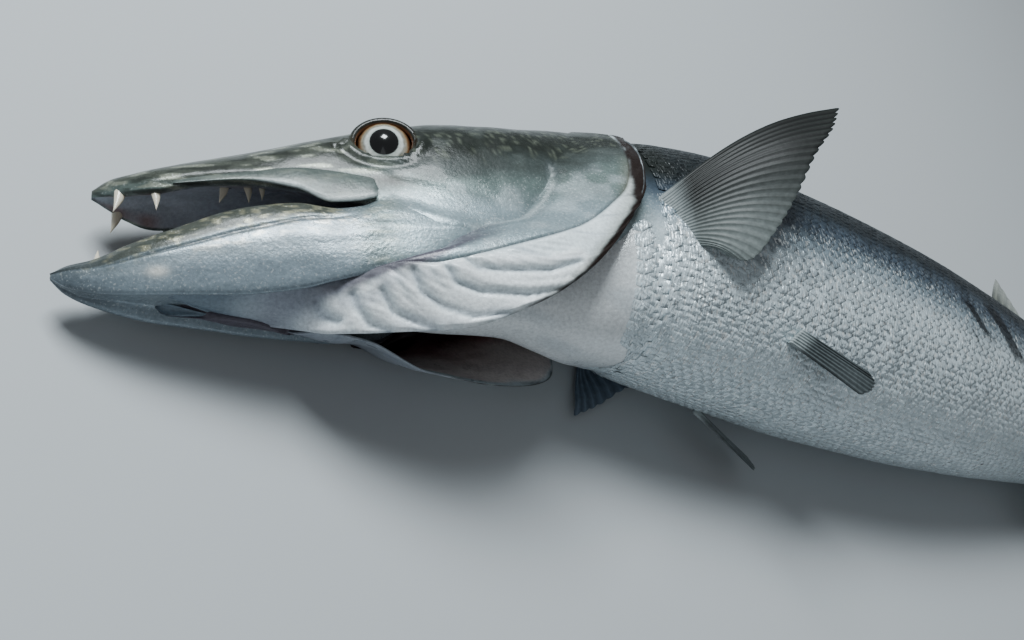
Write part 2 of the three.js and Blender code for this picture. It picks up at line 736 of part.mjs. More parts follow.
let head = sweep(
  [93 + cut, 101, 110, 122, 134, 146, 158, 168, 178, 188, 200, 216, 234, headEnd - cut],
  headOutline,
);
for (const side of [1, -1]) {
  const centre = [eyeCentre.s, eyeCentre.v, side * eyeCentre.u];
  const outward = [...eyeLook, side];
  const eye = lathe(eyeProfile, centre, outward, 18);
  head = head.add(lathe(rimProfile, centre, outward, 20, 0.79));
  head = head.subtract(swell(eye, gap));
  const nostril = lathe(
    [[0, -3], [1.5, -1.5], [1.5, 1.5], [0, 3]], [104.5, 17, side * 29.4], [0, 0.5, side], 8);
  head = head.subtract(nostril);
  solids[side > 0 ? "eye_left" : "eye_right"] = eye;
}
solids.head = head;

const fangs = [
  { root: [13.8, -6.2, 7.2], tip: [11.8, -17.0, 8.0], width: 5.8 },
  { root: [27, -6.8, 12.4], tip: [28.2, -17.2, 12.8], width: 5.2, leftOnly: true },
  { root: [55, -2.5, 12.4], tip: [53.4, -9.4, 12.2], width: 4.6 },
  { root: [65, -2.0, 14.0], tip: [65.6, -9.0, 13.8], width: 4.2 },
  { root: [70.8, -2.0, 15.0], tip: [71.0, -7.6, 14.8], width: 3.4 },
];
let upper = sweep([3.6, 6, 10, 14, 18, 22, 26, 35, 45, 58, 70, 83, 93 - cut], headOutline);
let lower = sweep(
  [-9.5, -7, -4, 0, 5, 11, 18, 25, 32, 46, 63, 84, 98, 110, 122, 134, 143, 150, 157],
  jawOutline,
);
lower = without(lower, head, upper);
for (const side of [1, -1]) {
  for (const { root, tip, width, leftOnly } of fangs) {
    if (leftOnly && side < 0) continue;
    const turned = ([s, v, u]) => [s, v, side * u];
    upper = upper.add(tooth(turned(root), turned(tip), width, 4));
  }
}
for (const u of [4.6, -4.6]) lower = lower.add(tooth([7.6, -39, u], [7.2, -33.8, u], 3.8, 4));
for (const side of [1, -1]) {
  for (const s of [22, 34, 46, 58, 70]) {
    const u = side * (jaw.lipU(s) - 4);
    lower = lower.add(tooth([s, jaw.lipV(s) - 1, u], [s + 0.5, jaw.lipV(s) + 1.6, u], 2.2, 3));
  }
}
solids.upper_jaw = upper;
solids.lower_jaw = lower;
solids.tongue = without(sweep(spread(52, 136, 8), tongueOutline), lower);
solids.maxilla_left = without(sweep(spread(34, 116.5, 10), upperLipOutline(1)), upper, head, lower);
solids.maxilla_right = without(sweep(spread(34, 116.5, 10), upperLipOutline(-1)), upper, head, lower);
solids.throat = without(
  sweep([108, 115, 122, 135, 150, 170, 190, 208, 222, 237, headEnd - cut], neckOutline),
  head, lower, solids.tongue,
);
const behind = [head, lower, solids.throat, solids.shoulder];
solids.gill_cover_left = without(cover(leftFlap, -1), ...behind, solids.maxilla_left);
solids.gill_cover_right = without(cover(rightFlap, 1), ...behind, solids.maxilla_right);
solids.gill_membrane_left = without(membrane(leftFlap, -1), ...behind, solids.gill_cover_left);
solids.gill_membrane_right = without(
  membrane(rightFlap, 1), ...behind, solids.gill_cover_right, solids.gill_membrane_left);
const carriers = {
  caudal_fin: ["tail_base"],
  second_dorsal_fin: ["torso_rear", "tail_base"],
  anal_fin: ["torso_rear", "tail_base"],
  first_dorsal_fin: ["torso_front", "torso_middle"],
  pectoral_fin_left: ["shoulder", "gill_membrane_left", "gill_cover_left"],
  pectoral_fin_right: ["shoulder", "gill_membrane_right", "gill_cover_right", "torso_front"],
  pelvic_fin_left: ["shoulder", "torso_front"],
  pelvic_fin_right: ["shoulder", "torso_front"],
};
for (const [name, design] of Object.entries(fins)) {
  solids[name] = without(fin(design), ...carriers[name].map((key) => solids[key]));
}

// Colours.
const finishes = {
  back: { color: "#7d8886", roughness: 0.4, metalness: 0.25 },
  flank: { color: "#aab4b8", roughness: 0.32, metalness: 0.35 },
  jaw: { color: "#a9b1b4", roughness: 0.4, metalness: 0.1 },
  pale: { color: "#d5d9da", roughness: 0.45, metalness: 0 },
  mouth: { color: "#b98f8a", roughness: 0.5, metalness: 0 },
  fin: { color: "#6d7068", roughness: 0.55, metalness: 0 },
  eye: { color: "#20201e", roughness: 0.15, metalness: 0 },
};
const finishOf = {
  upper_jaw: "back", head: "back", maxilla_left: "back", maxilla_right: "back",
  lower_jaw: "jaw", tongue: "mouth", throat: "pale", eye_left: "eye", eye_right: "eye",
  gill_cover_left: "flank", gill_cover_right: "flank",
  gill_membrane_left: "pale", gill_membrane_right: "pale",
};

/** Everything below the floor pressed away; the largest closed piece is kept. */
const airBox = new THREE.BoxGeometry(4000, 4000, 1000).translate(0, 0, 500);
airBox.deleteAttribute("normal");
airBox.deleteAttribute("uv");
const airShape = mergeVertices(airBox);
const air = new wasm.Manifold(new wasm.Mesh({
  numProp: 3,
  vertProperties: new Float32Array(airShape.getAttribute("position").array),
  triVerts: new Uint32Array(airShape.index.array),
}));

function settle(solid) {
  const pieces = solid.intersect(air).simplify(0.02).decompose();
  return pieces.reduce((best, piece) => (piece.volume() > best.volume() ? piece : best));
}

function meshOf(name, solid) {
  const mesh = solid.getMesh();
  const geometry = new THREE.BufferGeometry();
  geometry.setAttribute(
    "position", new THREE.BufferAttribute(new Float32Array(mesh.vertProperties), 3));
  geometry.setIndex(new THREE.BufferAttribute(new Uint32Array(mesh.triVerts), 1));
  const finish = finishes[finishOf[name] ?? (name.includes("fin") ? "fin" : "flank")];
  const out = new THREE.Mesh(geometry, new THREE.MeshStandardMaterial(finish));
  out.name = name;
  return out;
}

const barracuda = new THREE.Group();
barracuda.name = "barracuda";
for (const [name, solid] of Object.entries(solids)) {
  barracuda.add(meshOf(name, settle(solid)));
}
const bounds = new THREE.Box3().setFromObject(barracuda);
const middle = bounds.getCenter(new THREE.Vector3());
for (const mesh of barracuda.children) {
  mesh.geometry.translate(-middle.x, -middle.y, -bounds.min.z);
  mesh.geometry.computeVertexNormals();
}

export default barracuda;
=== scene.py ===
"""A life-size great barracuda lying on its right side, mouth and gill flaps open.

The body is drawn straight first, in the fish's own frame and in millimetres: s runs tailward
from the tip of the upper jaw, v up towards the back fins, u out to the left side. The resting
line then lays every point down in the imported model's frame.
"""

import logging
import math
from dataclasses import dataclass
from enum import Enum
from typing import Callable, Sequence

import bmesh
import bpy
import numpy as np
from mathutils import Matrix, Vector

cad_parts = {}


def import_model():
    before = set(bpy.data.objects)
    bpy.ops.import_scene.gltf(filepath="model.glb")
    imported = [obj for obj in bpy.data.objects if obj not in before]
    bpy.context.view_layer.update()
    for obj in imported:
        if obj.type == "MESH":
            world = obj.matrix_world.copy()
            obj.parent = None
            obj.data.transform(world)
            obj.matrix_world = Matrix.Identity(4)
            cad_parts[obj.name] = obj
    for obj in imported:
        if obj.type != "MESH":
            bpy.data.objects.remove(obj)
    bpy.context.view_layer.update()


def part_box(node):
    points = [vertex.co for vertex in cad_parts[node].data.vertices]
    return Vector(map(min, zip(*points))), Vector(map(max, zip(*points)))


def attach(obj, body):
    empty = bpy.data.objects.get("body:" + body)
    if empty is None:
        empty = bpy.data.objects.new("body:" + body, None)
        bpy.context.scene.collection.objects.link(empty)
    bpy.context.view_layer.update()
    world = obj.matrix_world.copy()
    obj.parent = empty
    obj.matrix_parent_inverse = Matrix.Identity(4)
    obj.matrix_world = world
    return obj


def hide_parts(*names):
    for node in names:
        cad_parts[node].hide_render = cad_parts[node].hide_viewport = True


LOG = logging.getLogger("barracuda")
Array = np.ndarray
Rows = Sequence[Sequence[float]]
Place = tuple[float, float, float]
Mesh = bpy.types.Mesh
Piece = bpy.types.Object
Material = bpy.types.Material
Tree = bpy.types.NodeTree
Node = bpy.types.Node

# Places on the straight fish, in millimetres.
HEAD_END = 252.0
TAIL_ROOT = 895.0
EYE_CENTRE = (124.5, 22.5, 25.0)
# How far the eyes look forward and down for each step outwards.
EYE_LOOK = (-0.3, -0.12)
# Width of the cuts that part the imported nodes.
CUT = 0.3


class Side(Enum):
    """The two sides of the fish; the value is the sign of u."""

    LEFT = 1
    RIGHT = -1


# Curves and the resting line.
class Curve:
    """A smooth curve through stations, without overshoot."""

    def __init__(self, stations: Rows) -> None:
        """Fit the curve.

        Args:
            stations: pairs of place and value, in order of place.
        """
        data = np.array(stations, float)
        self.x, self.y = data[:, 0], data[:, 1]
        step = np.diff(self.x)
        rise = np.diff(self.y) / step
        slope = np.empty_like(self.x)
        slope[0], slope[-1] = rise[0], rise[-1]
        for i in range(1, len(step)):
            if rise[i - 1] * rise[i] <= 0:
                slope[i] = 0.0
                continue
            first = 2 * step[i] + step[i - 1]
            second = step[i] + 2 * step[i - 1]
            slope[i] = (first + second) / (first / rise[i - 1] + second / rise[i])
        self.slope = slope

    def __call__(self, at: Array | float) -> Array:
        """Value of the curve, carried on straight past its ends.

        Args:
            at: place or places along the curve.

        Returns:
            The value at each place.
        """
        at = np.asarray(at, float)
        i = np.clip(np.searchsorted(self.x, at) - 1, 0, len(self.x) - 2)
        width = self.x[i + 1] - self.x[i]
        t = np.clip((at - self.x[i]) / width, 0, 1)
        t2, t3 = t * t, t * t * t
        value = (
            self.y[i] * (2 * t3 - 3 * t2 + 1)
            + self.slope[i] * width * (t3 - 2 * t2 + t)
            + self.y[i + 1] * (3 * t2 - 2 * t3)
            + self.slope[i + 1] * width * (t3 - t2)
        )
        value = value + self.slope[0] * np.minimum(at - self.x[0], 0)
        return value + self.slope[-1] * np.maximum(at - self.x[-1], 0)


class Table:
    """Several curves that share one list of stations."""

    def __init__(self, names: str, rows: Rows) -> None:
        """Fit one curve to each named column.

        Args:
            names: the column names, apart by spaces.
            rows: station first, then one value for each name.
        """
        self.curves = {
            name: Curve([(row[0], row[k + 1]) for row in rows])
            for k, name in enumerate(names.split())
        }

    def __getitem__(self, name: str) -> Curve:
        """One column's curve."""
        return self.curves[name]

    def at(self, s: Array) -> dict[str, Array]:
        """Every column at the given stations, as a dictionary."""
        return {name: curve(s) for name, curve in self.curves.items()}

    def rows(self, s: Array) -> dict[str, Array]:
        """Every column at the given stations, with one row for each."""
        return {name: curve(s)[..., None] for name, curve in self.curves.items()}


class Path:
    """A smooth path through points, asked for by t from 0 to 1."""

    def __init__(self, points: Rows) -> None:
        """Fit the path through the points, evenly spaced in t."""
        last = len(points) - 1
        self.axes = [Curve([(i / last, p[k]) for i, p in enumerate(points)]) for k in range(3)]

    def __call__(self, t: Array) -> Array:
        """Points of the path, one row for each t."""
        return np.stack([axis(t) for axis in self.axes], -1)


def mix(a: Array | float, b: Array | float, t: Array | float) -> Array:
    """Straight mix of two values."""
    return a + (b - a) * t


def ramp(low: float, high: float, value: Array) -> Array:
    """Smooth step from 0 at low to 1 at high; low may be above high."""
    t = np.clip((value - low) / (high - low), 0, 1)
    return t * t * (3 - 2 * t)


def window(value: Array, start: float, full: float, fading: float, end: float) -> Array:
    """1 between full and fading, and 0 before the start and past the end."""
    return ramp(start, full, value) * ramp(end, fading, value)


def steps(*runs: tuple[float, float, int]) -> Array:
    """Evenly spaced places in several runs, each with its start, end and count."""
    return np.concatenate([np.linspace(*run) for run in runs])


def bump(value: Array, centre: Array | float, width: Array | float) -> Array:
    """A soft hill of height 1 at the centre."""
    return np.exp(-(((value - centre) / width) ** 2))


def unit(way: Array) -> Array:
    """Directions of length 1."""
    return way / np.maximum(np.linalg.norm(way, axis=-1, keepdims=True), 1e-9)


class RestingLine:
    """Lays the straight fish down along its resting line."""

    # Height of the midline above the floor, in millimetres.
    height = Curve([
        (-40, 11), (0, 18.5), (50, 28), (100, 37.3), (150, 45.6), (200, 51.6), (260, 57),
        (310, 58), (400, 54), (500, 51), (600, 45), (700, 36), (800, 24), (880, 15), (960, 8),
        (1060, 3.4), (1120, 3.4),
    ])
    # Turn of the body towards its belly, in degrees.
    bend = Curve([(-40, 0), (235, 0), (480, 5.2), (1120, 5.2)])
    start, end, step = -40.0, 1120.0, 4.0
    # How high what lies on the floor stands above it, in millimetres.
    rest = 0.15

    def __init__(self) -> None:
        """Walk along the midline and keep its place and directions."""
        self.s = np.arange(self.start, self.end + 0.1, self.step)
        pitch = np.arcsin((self.height(self.s + 1) - self.height(self.s - 1)) / 2)
        turn = -np.radians(self.bend(self.s))
        along = np.stack([
            np.cos(pitch) * np.cos(turn), np.cos(pitch) * np.sin(turn), np.sin(pitch)], -1)
        self.back = np.stack([-np.sin(turn), np.cos(turn), 0 * turn], -1)
        self.left = np.cross(along, self.back)
        self.place = np.zeros((len(self.s), 3))
        self.place[1:] = np.cumsum(along[:-1] * self.step, 0)
        self.place[:, 2] = self.height(self.s)
        self.shift = np.zeros(3)

    def pose(self, points: Array, floor: bool = True) -> Array:
        """Points of the straight fish, laid down.

        Args:
            points: s, v and u in millimetres, in the last axis.
            floor: press what would be below the floor flat on it.

        Returns:
            x, y and z in metres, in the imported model's frame.
        """
        points = np.asarray(points, float)
        at = points[..., 0]
        lay = [
            np.stack([np.interp(at, self.s, course[:, k]) for k in range(3)], -1)
            for course in (self.place, self.back, self.left)
        ]
        world = lay[0] + lay[1] * points[..., 1:2] + lay[2] * points[..., 2:3] + self.shift
        if floor:
            world[..., 2] = np.maximum(world[..., 2], self.rest)
        return world / 1000

    def fit_to(self, node: str, points: Array) -> None:
        """Shift the line so that the points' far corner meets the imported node's.

        Args:
            node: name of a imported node.
            points: the same node's corner points in the fish's own frame.
        """
        mine = self.pose(points).reshape(-1, 3).max(0)
        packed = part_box(node)[1]
        self.shift[:2] = [(packed[k] - mine[k]) * 1000 for k in range(2)]

    def from_midline(self, places: Array) -> Array:
        """How each posed place lies from the midline beside it, in metres."""
        middle = self.pose(np.c_[self.s, 0 * self.s, 0 * self.s])
        s = np.interp(places[:, 0], middle[:, 0], self.s)
        return places - self.pose(np.stack([s, 0 * s, 0 * s], -1))


LINE = RestingLine()


# The body's forms.
def section_grid(s: Array, v: Array, u: Array) -> Array:
    """Points of sections, one row for each station, with s, v and u in the last axis."""
    return np.stack([np.broadcast_to(s[:, None], v.shape), v, u], -1)


class Trunk:
    """Form of the trunk: a rounded section behind the head."""

    table = Table("top bottom half", [
        (252, 63, -62, 48), (275, 68, -67, 51), (330, 73, -74, 55), (400, 73, -78, 57),
        (480, 70, -77, 56), (560, 65, -71, 52), (640, 59, -61, 46), (720, 49, -50, 37),
        (790, 39, -39, 27), (850, 32, -32, 19), (895, 34, -34, 12),
    ])
    # 2 is an ellipse, and more is boxier.
    fullness = 2.3

    @classmethod
    def ring(cls, form: dict[str, Array], turn: Array) -> tuple[Array, Array]:
        """v and u at a turn round the section: 0 at the back and pi at the belly."""
        power = 2 / cls.fullness
        rise = np.sign(np.cos(turn)) * np.abs(np.cos(turn)) ** power
        reach = np.sign(np.sin(turn)) * np.abs(np.sin(turn)) ** power
        return np.where(rise > 0, rise * form["top"], -rise * form["bottom"]), reach * form["half"]

    @classmethod
    def outline(cls, s: Array, q: Array) -> tuple[Array, Array]:
        """Left half of the section, from the back (q 0) to the belly (q 1).

        Args:
            s: stations, one row each.
            q: place round the section, one column each.

        Returns:
            v and u, one row for each station.
        """
        form = cls.table.rows(s)
        return cls.ring(form, np.asarray(q) * np.pi)


class Skull:
    """Form of the upper jaw and head, hollow below for the roof of the mouth."""

    table = Table("top wide wideV rimOut rimV rimIn vault", [
        (3.6, -2.6, 1.4, -4.0, 1.1, -5.0, 0.6, -4.7),
        (10, 2.4, 7.4, -3.2, 6.2, -6.4, 3.4, -5.4),
        (18, 4.8, 12.3, -3.4, 11.6, -8.0, 7.5, -4.2),
        (26, 7.2, 16.0, -3.2, 15.4, -8.4, 11.0, -2.2),
        (45, 12.8, 20.0, -1.2, 19.0, -4.4, 14.5, 0.8),
        (65, 19.0, 24.0, 1.0, 22.5, -3.2, 17.5, 3.5),
        (83, 25.0, 28.0, 4.0, 26.5, -5.0, 20.5, 4.0),
        (100, 30.5, 31.5, 7.0, 30.0, -9.0, 23.5, 3.5),
        (122, 37.5, 35.0, 11.0, 35.0, -14.0, 27.0, 0.0),
        (148, 44.0, 41.5, 4.0, 42.0, -25.0, 30.0, -7.0),
        (165, 46.5, 44.0, 2.0, 43.5, -27.0, 28.0, -18.0),
        (178, 48.5, 45.0, 4.0, 43.0, -28.0, 24.0, -27.0),
        (190, 50.5, 44.5, 8.0, 37.0, -29.0, 20.0, -29.0),
        (204, 54.0, 43.5, 10.0, 33.0, -29.5, 18.0, -29.5),
        (225, 59.0, 44.0, 6.0, 33.0, -29.5, 18.0, -29.5),
        (252, 63.0, 46.5, 0.0, 34.0, -29.5, 18.0, -29.5),
    ])
    fullness = Curve([(0, 2.0), (30, 2.2), (100, 2.5), (160, 2.9), (252, 2.5)])
    # Where the crown's arch, the cheek and the lip end, round the section.
    crown, cheek, lip = 0.44, 0.66, 0.74

    @classmethod
    def outline(cls, s: Array, q: Array) -> tuple[Array, Array]:
        """Left half of the section, from the crown (q 0) to the palate (q 1).

        Args:
            s: stations, one row each.
            q: place round the section, one column each.

        Returns:
            v and u, one row for each station.
        """
        f = cls.table.rows(s)
        power = 2 / cls.fullness(s)[..., None]
        q = np.asarray(q)[None, :]
        turn = np.clip(q / cls.crown, 0, 1) * np.pi / 2
        v = mix(f["wideV"], f["top"], np.cos(turn) ** power)
        u = f["wide"] * np.sin(turn) ** power
        t = np.clip((q - cls.crown) / (cls.cheek - cls.crown), 0, 1)
        side = q > cls.crown
        v = np.where(side, mix(f["wideV"], f["rimV"], t), v)
        u = np.where(side, mix(f["wide"], f["rimOut"], t * t), u)
        t = np.clip((q - cls.cheek) / (cls.lip - cls.cheek), 0, 1)
        edge = q > cls.cheek
        v = np.where(edge, f["rimV"] - 0.7 * np.sin(np.pi * t), v)
        u = np.where(edge, mix(f["rimOut"], f["rimIn"], t), u)
        t = np.clip((q - cls.lip) / (1 - cls.lip), 0, 1)
        roof = q > cls.lip
        v = np.where(roof, mix(f["rimV"], f["vault"], np.sin(t * np.pi / 2)), v)
        u = np.where(roof, f["rimIn"] * (1 - t), u)
        return v, u


class Jaw:
    """Form of the lower jaw: a trough with a thin floor between its two arms."""

    table = Table("lipU lipV midU lowU lowV under floor", [
        (-9.5, 1.2, -44.6, 1.4, 1.0, -46.4, -46.2, -45.2),
        (-4, 5.2, -42.8, 5.6, 3.4, -51.0, -50.0, -46.5),
        (5, 8.4, -40.8, 9.4, 5.6, -54.2, -52.5, -47.0),
        (18, 14.0, -35.6, 15.4, 9.2, -56.2, -52.5, -46.5),
        (32, 18.6, -30.2, 20.4, 12.6, -57.0, -52.0, -45.0),
        (63, 26.0, -19.2, 27.4, 17.8, -57.0, -51.0, -42.0),
        (84, 29.6, -16.6, 31.8, 23.2, -55.2, -50.0, -39.5),
        (98, 31.8, -18.8, 34.6, 28.6, -52.8, -48.5, -38.0),
        (110, 33.6, -17.0, 37.2, 33.0, -50.6, -46.5, -37.0),
        (118, 34.6, -13.6, 38.6, 35.0, -49.0, -45.0, -36.4),
        (134, 38.2, -17.5, 41.4, 38.4, -44.6, -41.5, -35.0),
        (150, 41.6, -22.8, 43.2, 41.0, -35.4, -34.8, -31.4),
        (157, 41.8, -23.8, 42.9, 41.2, -32.4, -32.2, -30.2),
    ])

    # Thickness of the jaw's arms, in millimetres.
    wall = 5.0
    # Where the section's fourteen corners are along q.
    corner_places = np.array([
        0, 0.12, 0.24, 0.33, 0.37, 0.41, 0.5, 0.58, 0.68, 0.76, 0.8, 0.84, 0.88, 1.0])

    @classmethod
    def down(cls, p: Array) -> Array:
        """How far down the jaw's side places are: 0 at the lip and 1 at the lower edge."""
        form = cls.table.at(p[..., 0])
        return (form["lipV"] - p[..., 1]) / np.maximum(form["lipV"] - form["lowV"], 2)

    @staticmethod
    def lip_foot(s: Array) -> Array:
        """How far down the jaw's side the groove below the lip is."""
        return np.interp(s, (13, 44, 75, 100), (0.41, 0.365, 0.28, 0.16))

    @classmethod
    def outline(cls, s: Array, q: Array) -> tuple[Array, Array]:
        """Left half of the section, from the mouth floor (q 0) over the lip to below (q 1).

        Args:
            s: stations, one row each.
            q: place round the section, one column each.

        Returns:
            v and u, one row for each station.
        """
        f = cls.table.at(s)
        wall = np.minimum(cls.wall, f["lipU"] * 0.5)
        deep = f["lipV"] - f["lowV"]
        corners = [
            (f["floor"], 0 * wall),
            (f["floor"], np.maximum(f["lipU"] - wall * 2.6, f["lipU"] * 0.3)),
            (mix(f["floor"], f["lipV"], 0.42), f["lipU"] - wall * 1.35),
            (f["lipV"] - np.minimum(1, deep * 0.2), f["lipU"] - wall),
            (f["lipV"] + np.minimum(0.6, deep * 0.1), f["lipU"] - wall * 0.5),
            (f["lipV"], f["lipU"]),
            (f["lipV"] - deep * 0.22, mix(f["lipU"], f["midU"], 0.75)),
            (f["lipV"] - deep * 0.45, f["midU"]),
            (f["lipV"] - deep * 0.72, mix(f["midU"], f["lowU"], 0.32)),
            (f["lipV"] - deep * 0.92, mix(f["midU"], f["lowU"], 0.72)),
            (f["lowV"], f["lowU"] * 0.97),
            (mix(f["lowV"], f["under"], 0.35), f["lowU"] - wall * 0.62),
            (f["under"], np.maximum(f["lowU"] - wall * 1.3, f["lowU"] * 0.35)),
            (f["under"], 0 * wall),
        ]
        return tuple(
            np.stack([
                soft_polyline(cls.corner_places, np.array([c[k][i] for c in corners]), q)
                for i in range(len(s))
            ])
            for k in range(2)
        )


# How far round the section a corner of the jaw is rounded to each side, in q.
CORNER_ROUNDING = 0.022


def soft_polyline(place: Array, value: Array, q: Array) -> Array:
    """A rounded line through a section's corners.

    Args:
        place: where the corners are along q.
        value: the corners' values.
        q: where the line is asked for.

    Returns:
        The value at each q.
    """
    steps = np.linspace(-1, 1, 7) * CORNER_ROUNDING
    weight = np.cos(steps / CORNER_ROUNDING * np.pi / 2.4)
    total = sum(w * np.interp(np.clip(q + d, 0, 1), place, value) for w, d in zip(weight, steps))
    return total / weight.sum()


class Throat:
    """Form of the narrow throat between the two gill openings."""

    table = Table("top bottom half", [
        (108, -50.5, -54.5, 4), (122, -45.5, -55.5, 9), (150, -36.5, -55.0, 15),
        (190, -28.5, -52.5, 21), (212, -25.0, -56.5, 28), (230, -12.0, -60.0, 38),
        (245, 6.0, -61.6, 45.6), (256, 14.0, -62.0, 47.2), (266, 12.0, -61.0, 45.5),
    ])

    @classmethod
    def outline(cls, s: Array, q: Array) -> tuple[Array, Array]:
        """Left half of the section, from above (q 0) to the keel below (q 1)."""
        f = cls.table.rows(s)
        turn = np.clip((np.asarray(q) - 0.25) / 0.75, 0, 1) * np.pi / 2
        v = mix(f["top"] - 2 * ramp(0, 0.25, np.asarray(q)), f["bottom"], np.sin(turn) ** 0.9)
        u = f["half"] * np.cos(turn) ** 0.8 * np.minimum(1, np.asarray(q) / 0.25)
        return v, u


class Flap:
    """Gill cover and gill membrane as one curved flap with folds."""

    # Each rib runs from the cheek over the cover's edge to the free rim, chin first.
    ribs = [
        [(30, -52.6, 6), (31, -53.8, 3.5), (30, -53.6, 0.5)],
        [(46, -52.4, 9.5), (47, -54.8, 4), (46, -55, -2.5)],
        [(66, -52.2, 14.5), (67, -56, 4), (66, -56.5, -7)],
        [(84, -51, 20), (86, -57.5, 10), (84, -59, -4.5)],
        [(100, -49.5, 26), (104, -58.8, 23), (100, -69, 12)],
        [(116, -47.5, 35), (121.5, -52.5, 39), (120, -72.5, 23)],
        [(134, -43, 40), (145, -47.5, 47.8), (147, -74, 34)],
        [(149, -32, 42), (168, -40, 52.5), (179, -64, 47)],
        [(163, -24, 43), (190, -31.5, 55.5), (201, -49.5, 54.5)],
        [(177, -18, 43), (207, -22, 56), (215, -36, 57)],
        [(188, -4, 43), (222, -9, 55.5), (227, -20, 57)],
        [(196, 12, 43), (234, 5, 53.5), (239, -1, 54.5)],
        [(204, 27, 41), (241, 24, 49.5), (246.5, 22, 49.5)],
        [(214, 42, 36), (244.5, 40, 42.6), (250, 38, 43.5)],
        [(226, 53, 29.5), (244, 51.5, 35.6), (250.5, 50, 37)],
    ]
    right_rim = [
        (30, -53.6, -2), (46, -54, -5), (66, -55.3, -10), (84, -57, -10), (104, -60.5, -3),
        (122, -62.5, -6), (151, -71.5, -13), (181, -70.5, -22), (211, -66, -29),
        (228.5, -58.3, -34), (239, -43, -43), (243, -18, -50), (247, 12, -50), (250, 36, -45),
        (250.5, 50, -37),
    ]
    # How far out the right flap's middle reaches before it lies on the floor, how much of
    # what is past that is pressed in, and how it is drawn in just behind the chin.
    right_reach = 47.5
    pressed = 0.9
    drawn_in = (1, 1, 1, 1, 0.61, 0.66) + (1,) * 9
    # How many folds the membrane has from chin to nape.
    folds = 12

    @staticmethod
    def crease(t: Array) -> Array:
        """Where the bony cover ends and the soft membrane begins, along w."""
        return 0.5 * ramp(5 / 14 - 0.05, 5 / 14 + 0.05, t)

    def __init__(self, side: Side) -> None:
        """Fit the three lines of one flap.

        Args:
            side: which side of the fish the flap is on.
        """
        ribs = self.ribs
        if side is Side.RIGHT:
            ribs = [
                [(root[0], root[1], -root[2]),
                 (middle[0], middle[1], -narrow * mix(
                     middle[2], min(middle[2], self.right_reach), self.pressed)), rim]
                for (root, middle, _), rim, narrow in zip(
                    self.ribs, self.right_rim, self.drawn_in)
            ]
        self.side = side
        self.lines = [Path([rib[k] for rib in ribs]) for k in range(3)]

    def surface(self, t: Array, w: Array) -> Array:
        """Points of the flap's outer face.

        Args:
            t: from the chin (0) to the nape (1), one row each.
            w: from the cheek (0) over the cover's edge (0.5) to the free rim (1).

        Returns:
            s, v and u for every t and w.
        """
        a, b, c = (line(t)[:, None, :] for line in self.lines)
        w = np.asarray(w)[None, :, None]
        return 2 * (w - 0.5) * (w - 1) * a - 4 * w * (w - 1) * b + 2 * w * (w - 0.5) * c


# Colours and markings.
def linear(colour: str) -> Array:
    """An sRGB hex colour as linear red, green and blue."""
    raw = np.array([int(colour[i:i + 2], 16) for i in (1, 3, 5)]) / 255
    return np.where(raw <= 0.04045, raw / 12.92, ((raw + 0.055) / 1.055) ** 2.4)


class Noise:
    """Smooth, seeded value noise on a repeating lattice."""

    def __init__(self, seed: int) -> None:
        """Fill the lattice from the seed."""
        self.lattice = np.random.default_rng(seed).random((32, 32, 32))

    def __call__(self, points: Array, size: float | Sequence[float]) -> Array:
        """Noise from 0 to 1.

        Args:
            points: places in millimetres, in the last axis.
            size: size of one blotch, in millimetres.

        Returns:
            One value for each point.
        """
        at = np.asarray(points) / np.asarray(size, float) + 500
        low = np.floor(at).astype(int)
        t = at - low
        t = t * t * (3 - 2 * t)
        total = 0.0
        for corner in np.ndindex(2, 2, 2):
            weight = np.prod([t[..., k] if corner[k] else 1 - t[..., k] for k in range(3)], 0)
            cell = [(low[..., k] + corner[k]) % 32 for k in range(3)]
            total = total + weight * self.lattice[cell[0], cell[1], cell[2]]
        return total


NOISE = Noise(7)


# Black slashes of the rear flank: s at the top and foot, v at the top and foot, half width.
SLASHES = (
    (504, 519, 10, -12, 5.6), (537, 556, 18, -17, 9.0), (501, 505, -13, -21, 2.0),
    (590, 606, 14, -14, 4.6), (646, 655, 12, -12, 3.6), (700, 690, 16, -12, 4.0),
    (742, 735, 6, -18, 5.0), (790, 786, 12, -10, 4.0),
)
CHEEK_RIM = np.array([
    (199, 14), (198.4, 7.3), (196.5, 2.3), (190.7, -7.4), (184.4, -14.2), (178.5, -20.3),
    (173.3, -22.3), (159.5, -26.5), (151.9, -28.9),
])
MEMBRANE_CREASES = [np.array(line) for line in (
    ((146.4, -47.2), (152.2, -51.2), (163.0, -51.9), (182.7, -50.9), (196.0, -46.0)),
    ((138.8, -50.8), (143.4, -57.1), (152.9, -60.5), (173.7, -61.4), (190.0, -58.5)),
    ((126.3, -52.2), (130.8, -60.2), (138.8, -65.7), (151.5, -69.6), (166.0, -69.0)),
    ((115.5, -58.0), (120.9, -65.9), (129.3, -70.2), (138.2, -73.8)),
    ((105.0, -57.0), (107.2, -62.0), (112.7, -69.0), (120.5, -72.5)),
    ((92.0, -56.5), (95.5, -61.0), (101.0, -65.0)),
)]
# Stations, and the height at each where the dark of the upper head ends.
DARK_BORDER = ((112, 139, 156, 175, 195, 215, 233, 250), (-4, -1, 1, 3, 8, 15, 21, 26))


def line_distance(p: Array, line: Array) -> Array:
    """Distance of places from a line of s and v corners, seen from the side."""
    at = p[..., :2]
    nearest = np.full(at.shape[:-1], 1e3)
    for start, end in zip(line[:-1], line[1:]):
        along = end - start
        t = np.clip(((at - start) * along).sum(-1) / (along * along).sum(), 0, 1)
        gap = at - start - along * t[..., None]
        nearest = np.minimum(nearest, np.hypot(gap[..., 0], gap[..., 1]))
    return nearest


def cheek_rim_distance(p: Array) -> Array:
    """Distance of places from the bony rim that bounds the cheek, seen from the side."""
    return line_distance(p, CHEEK_RIM)


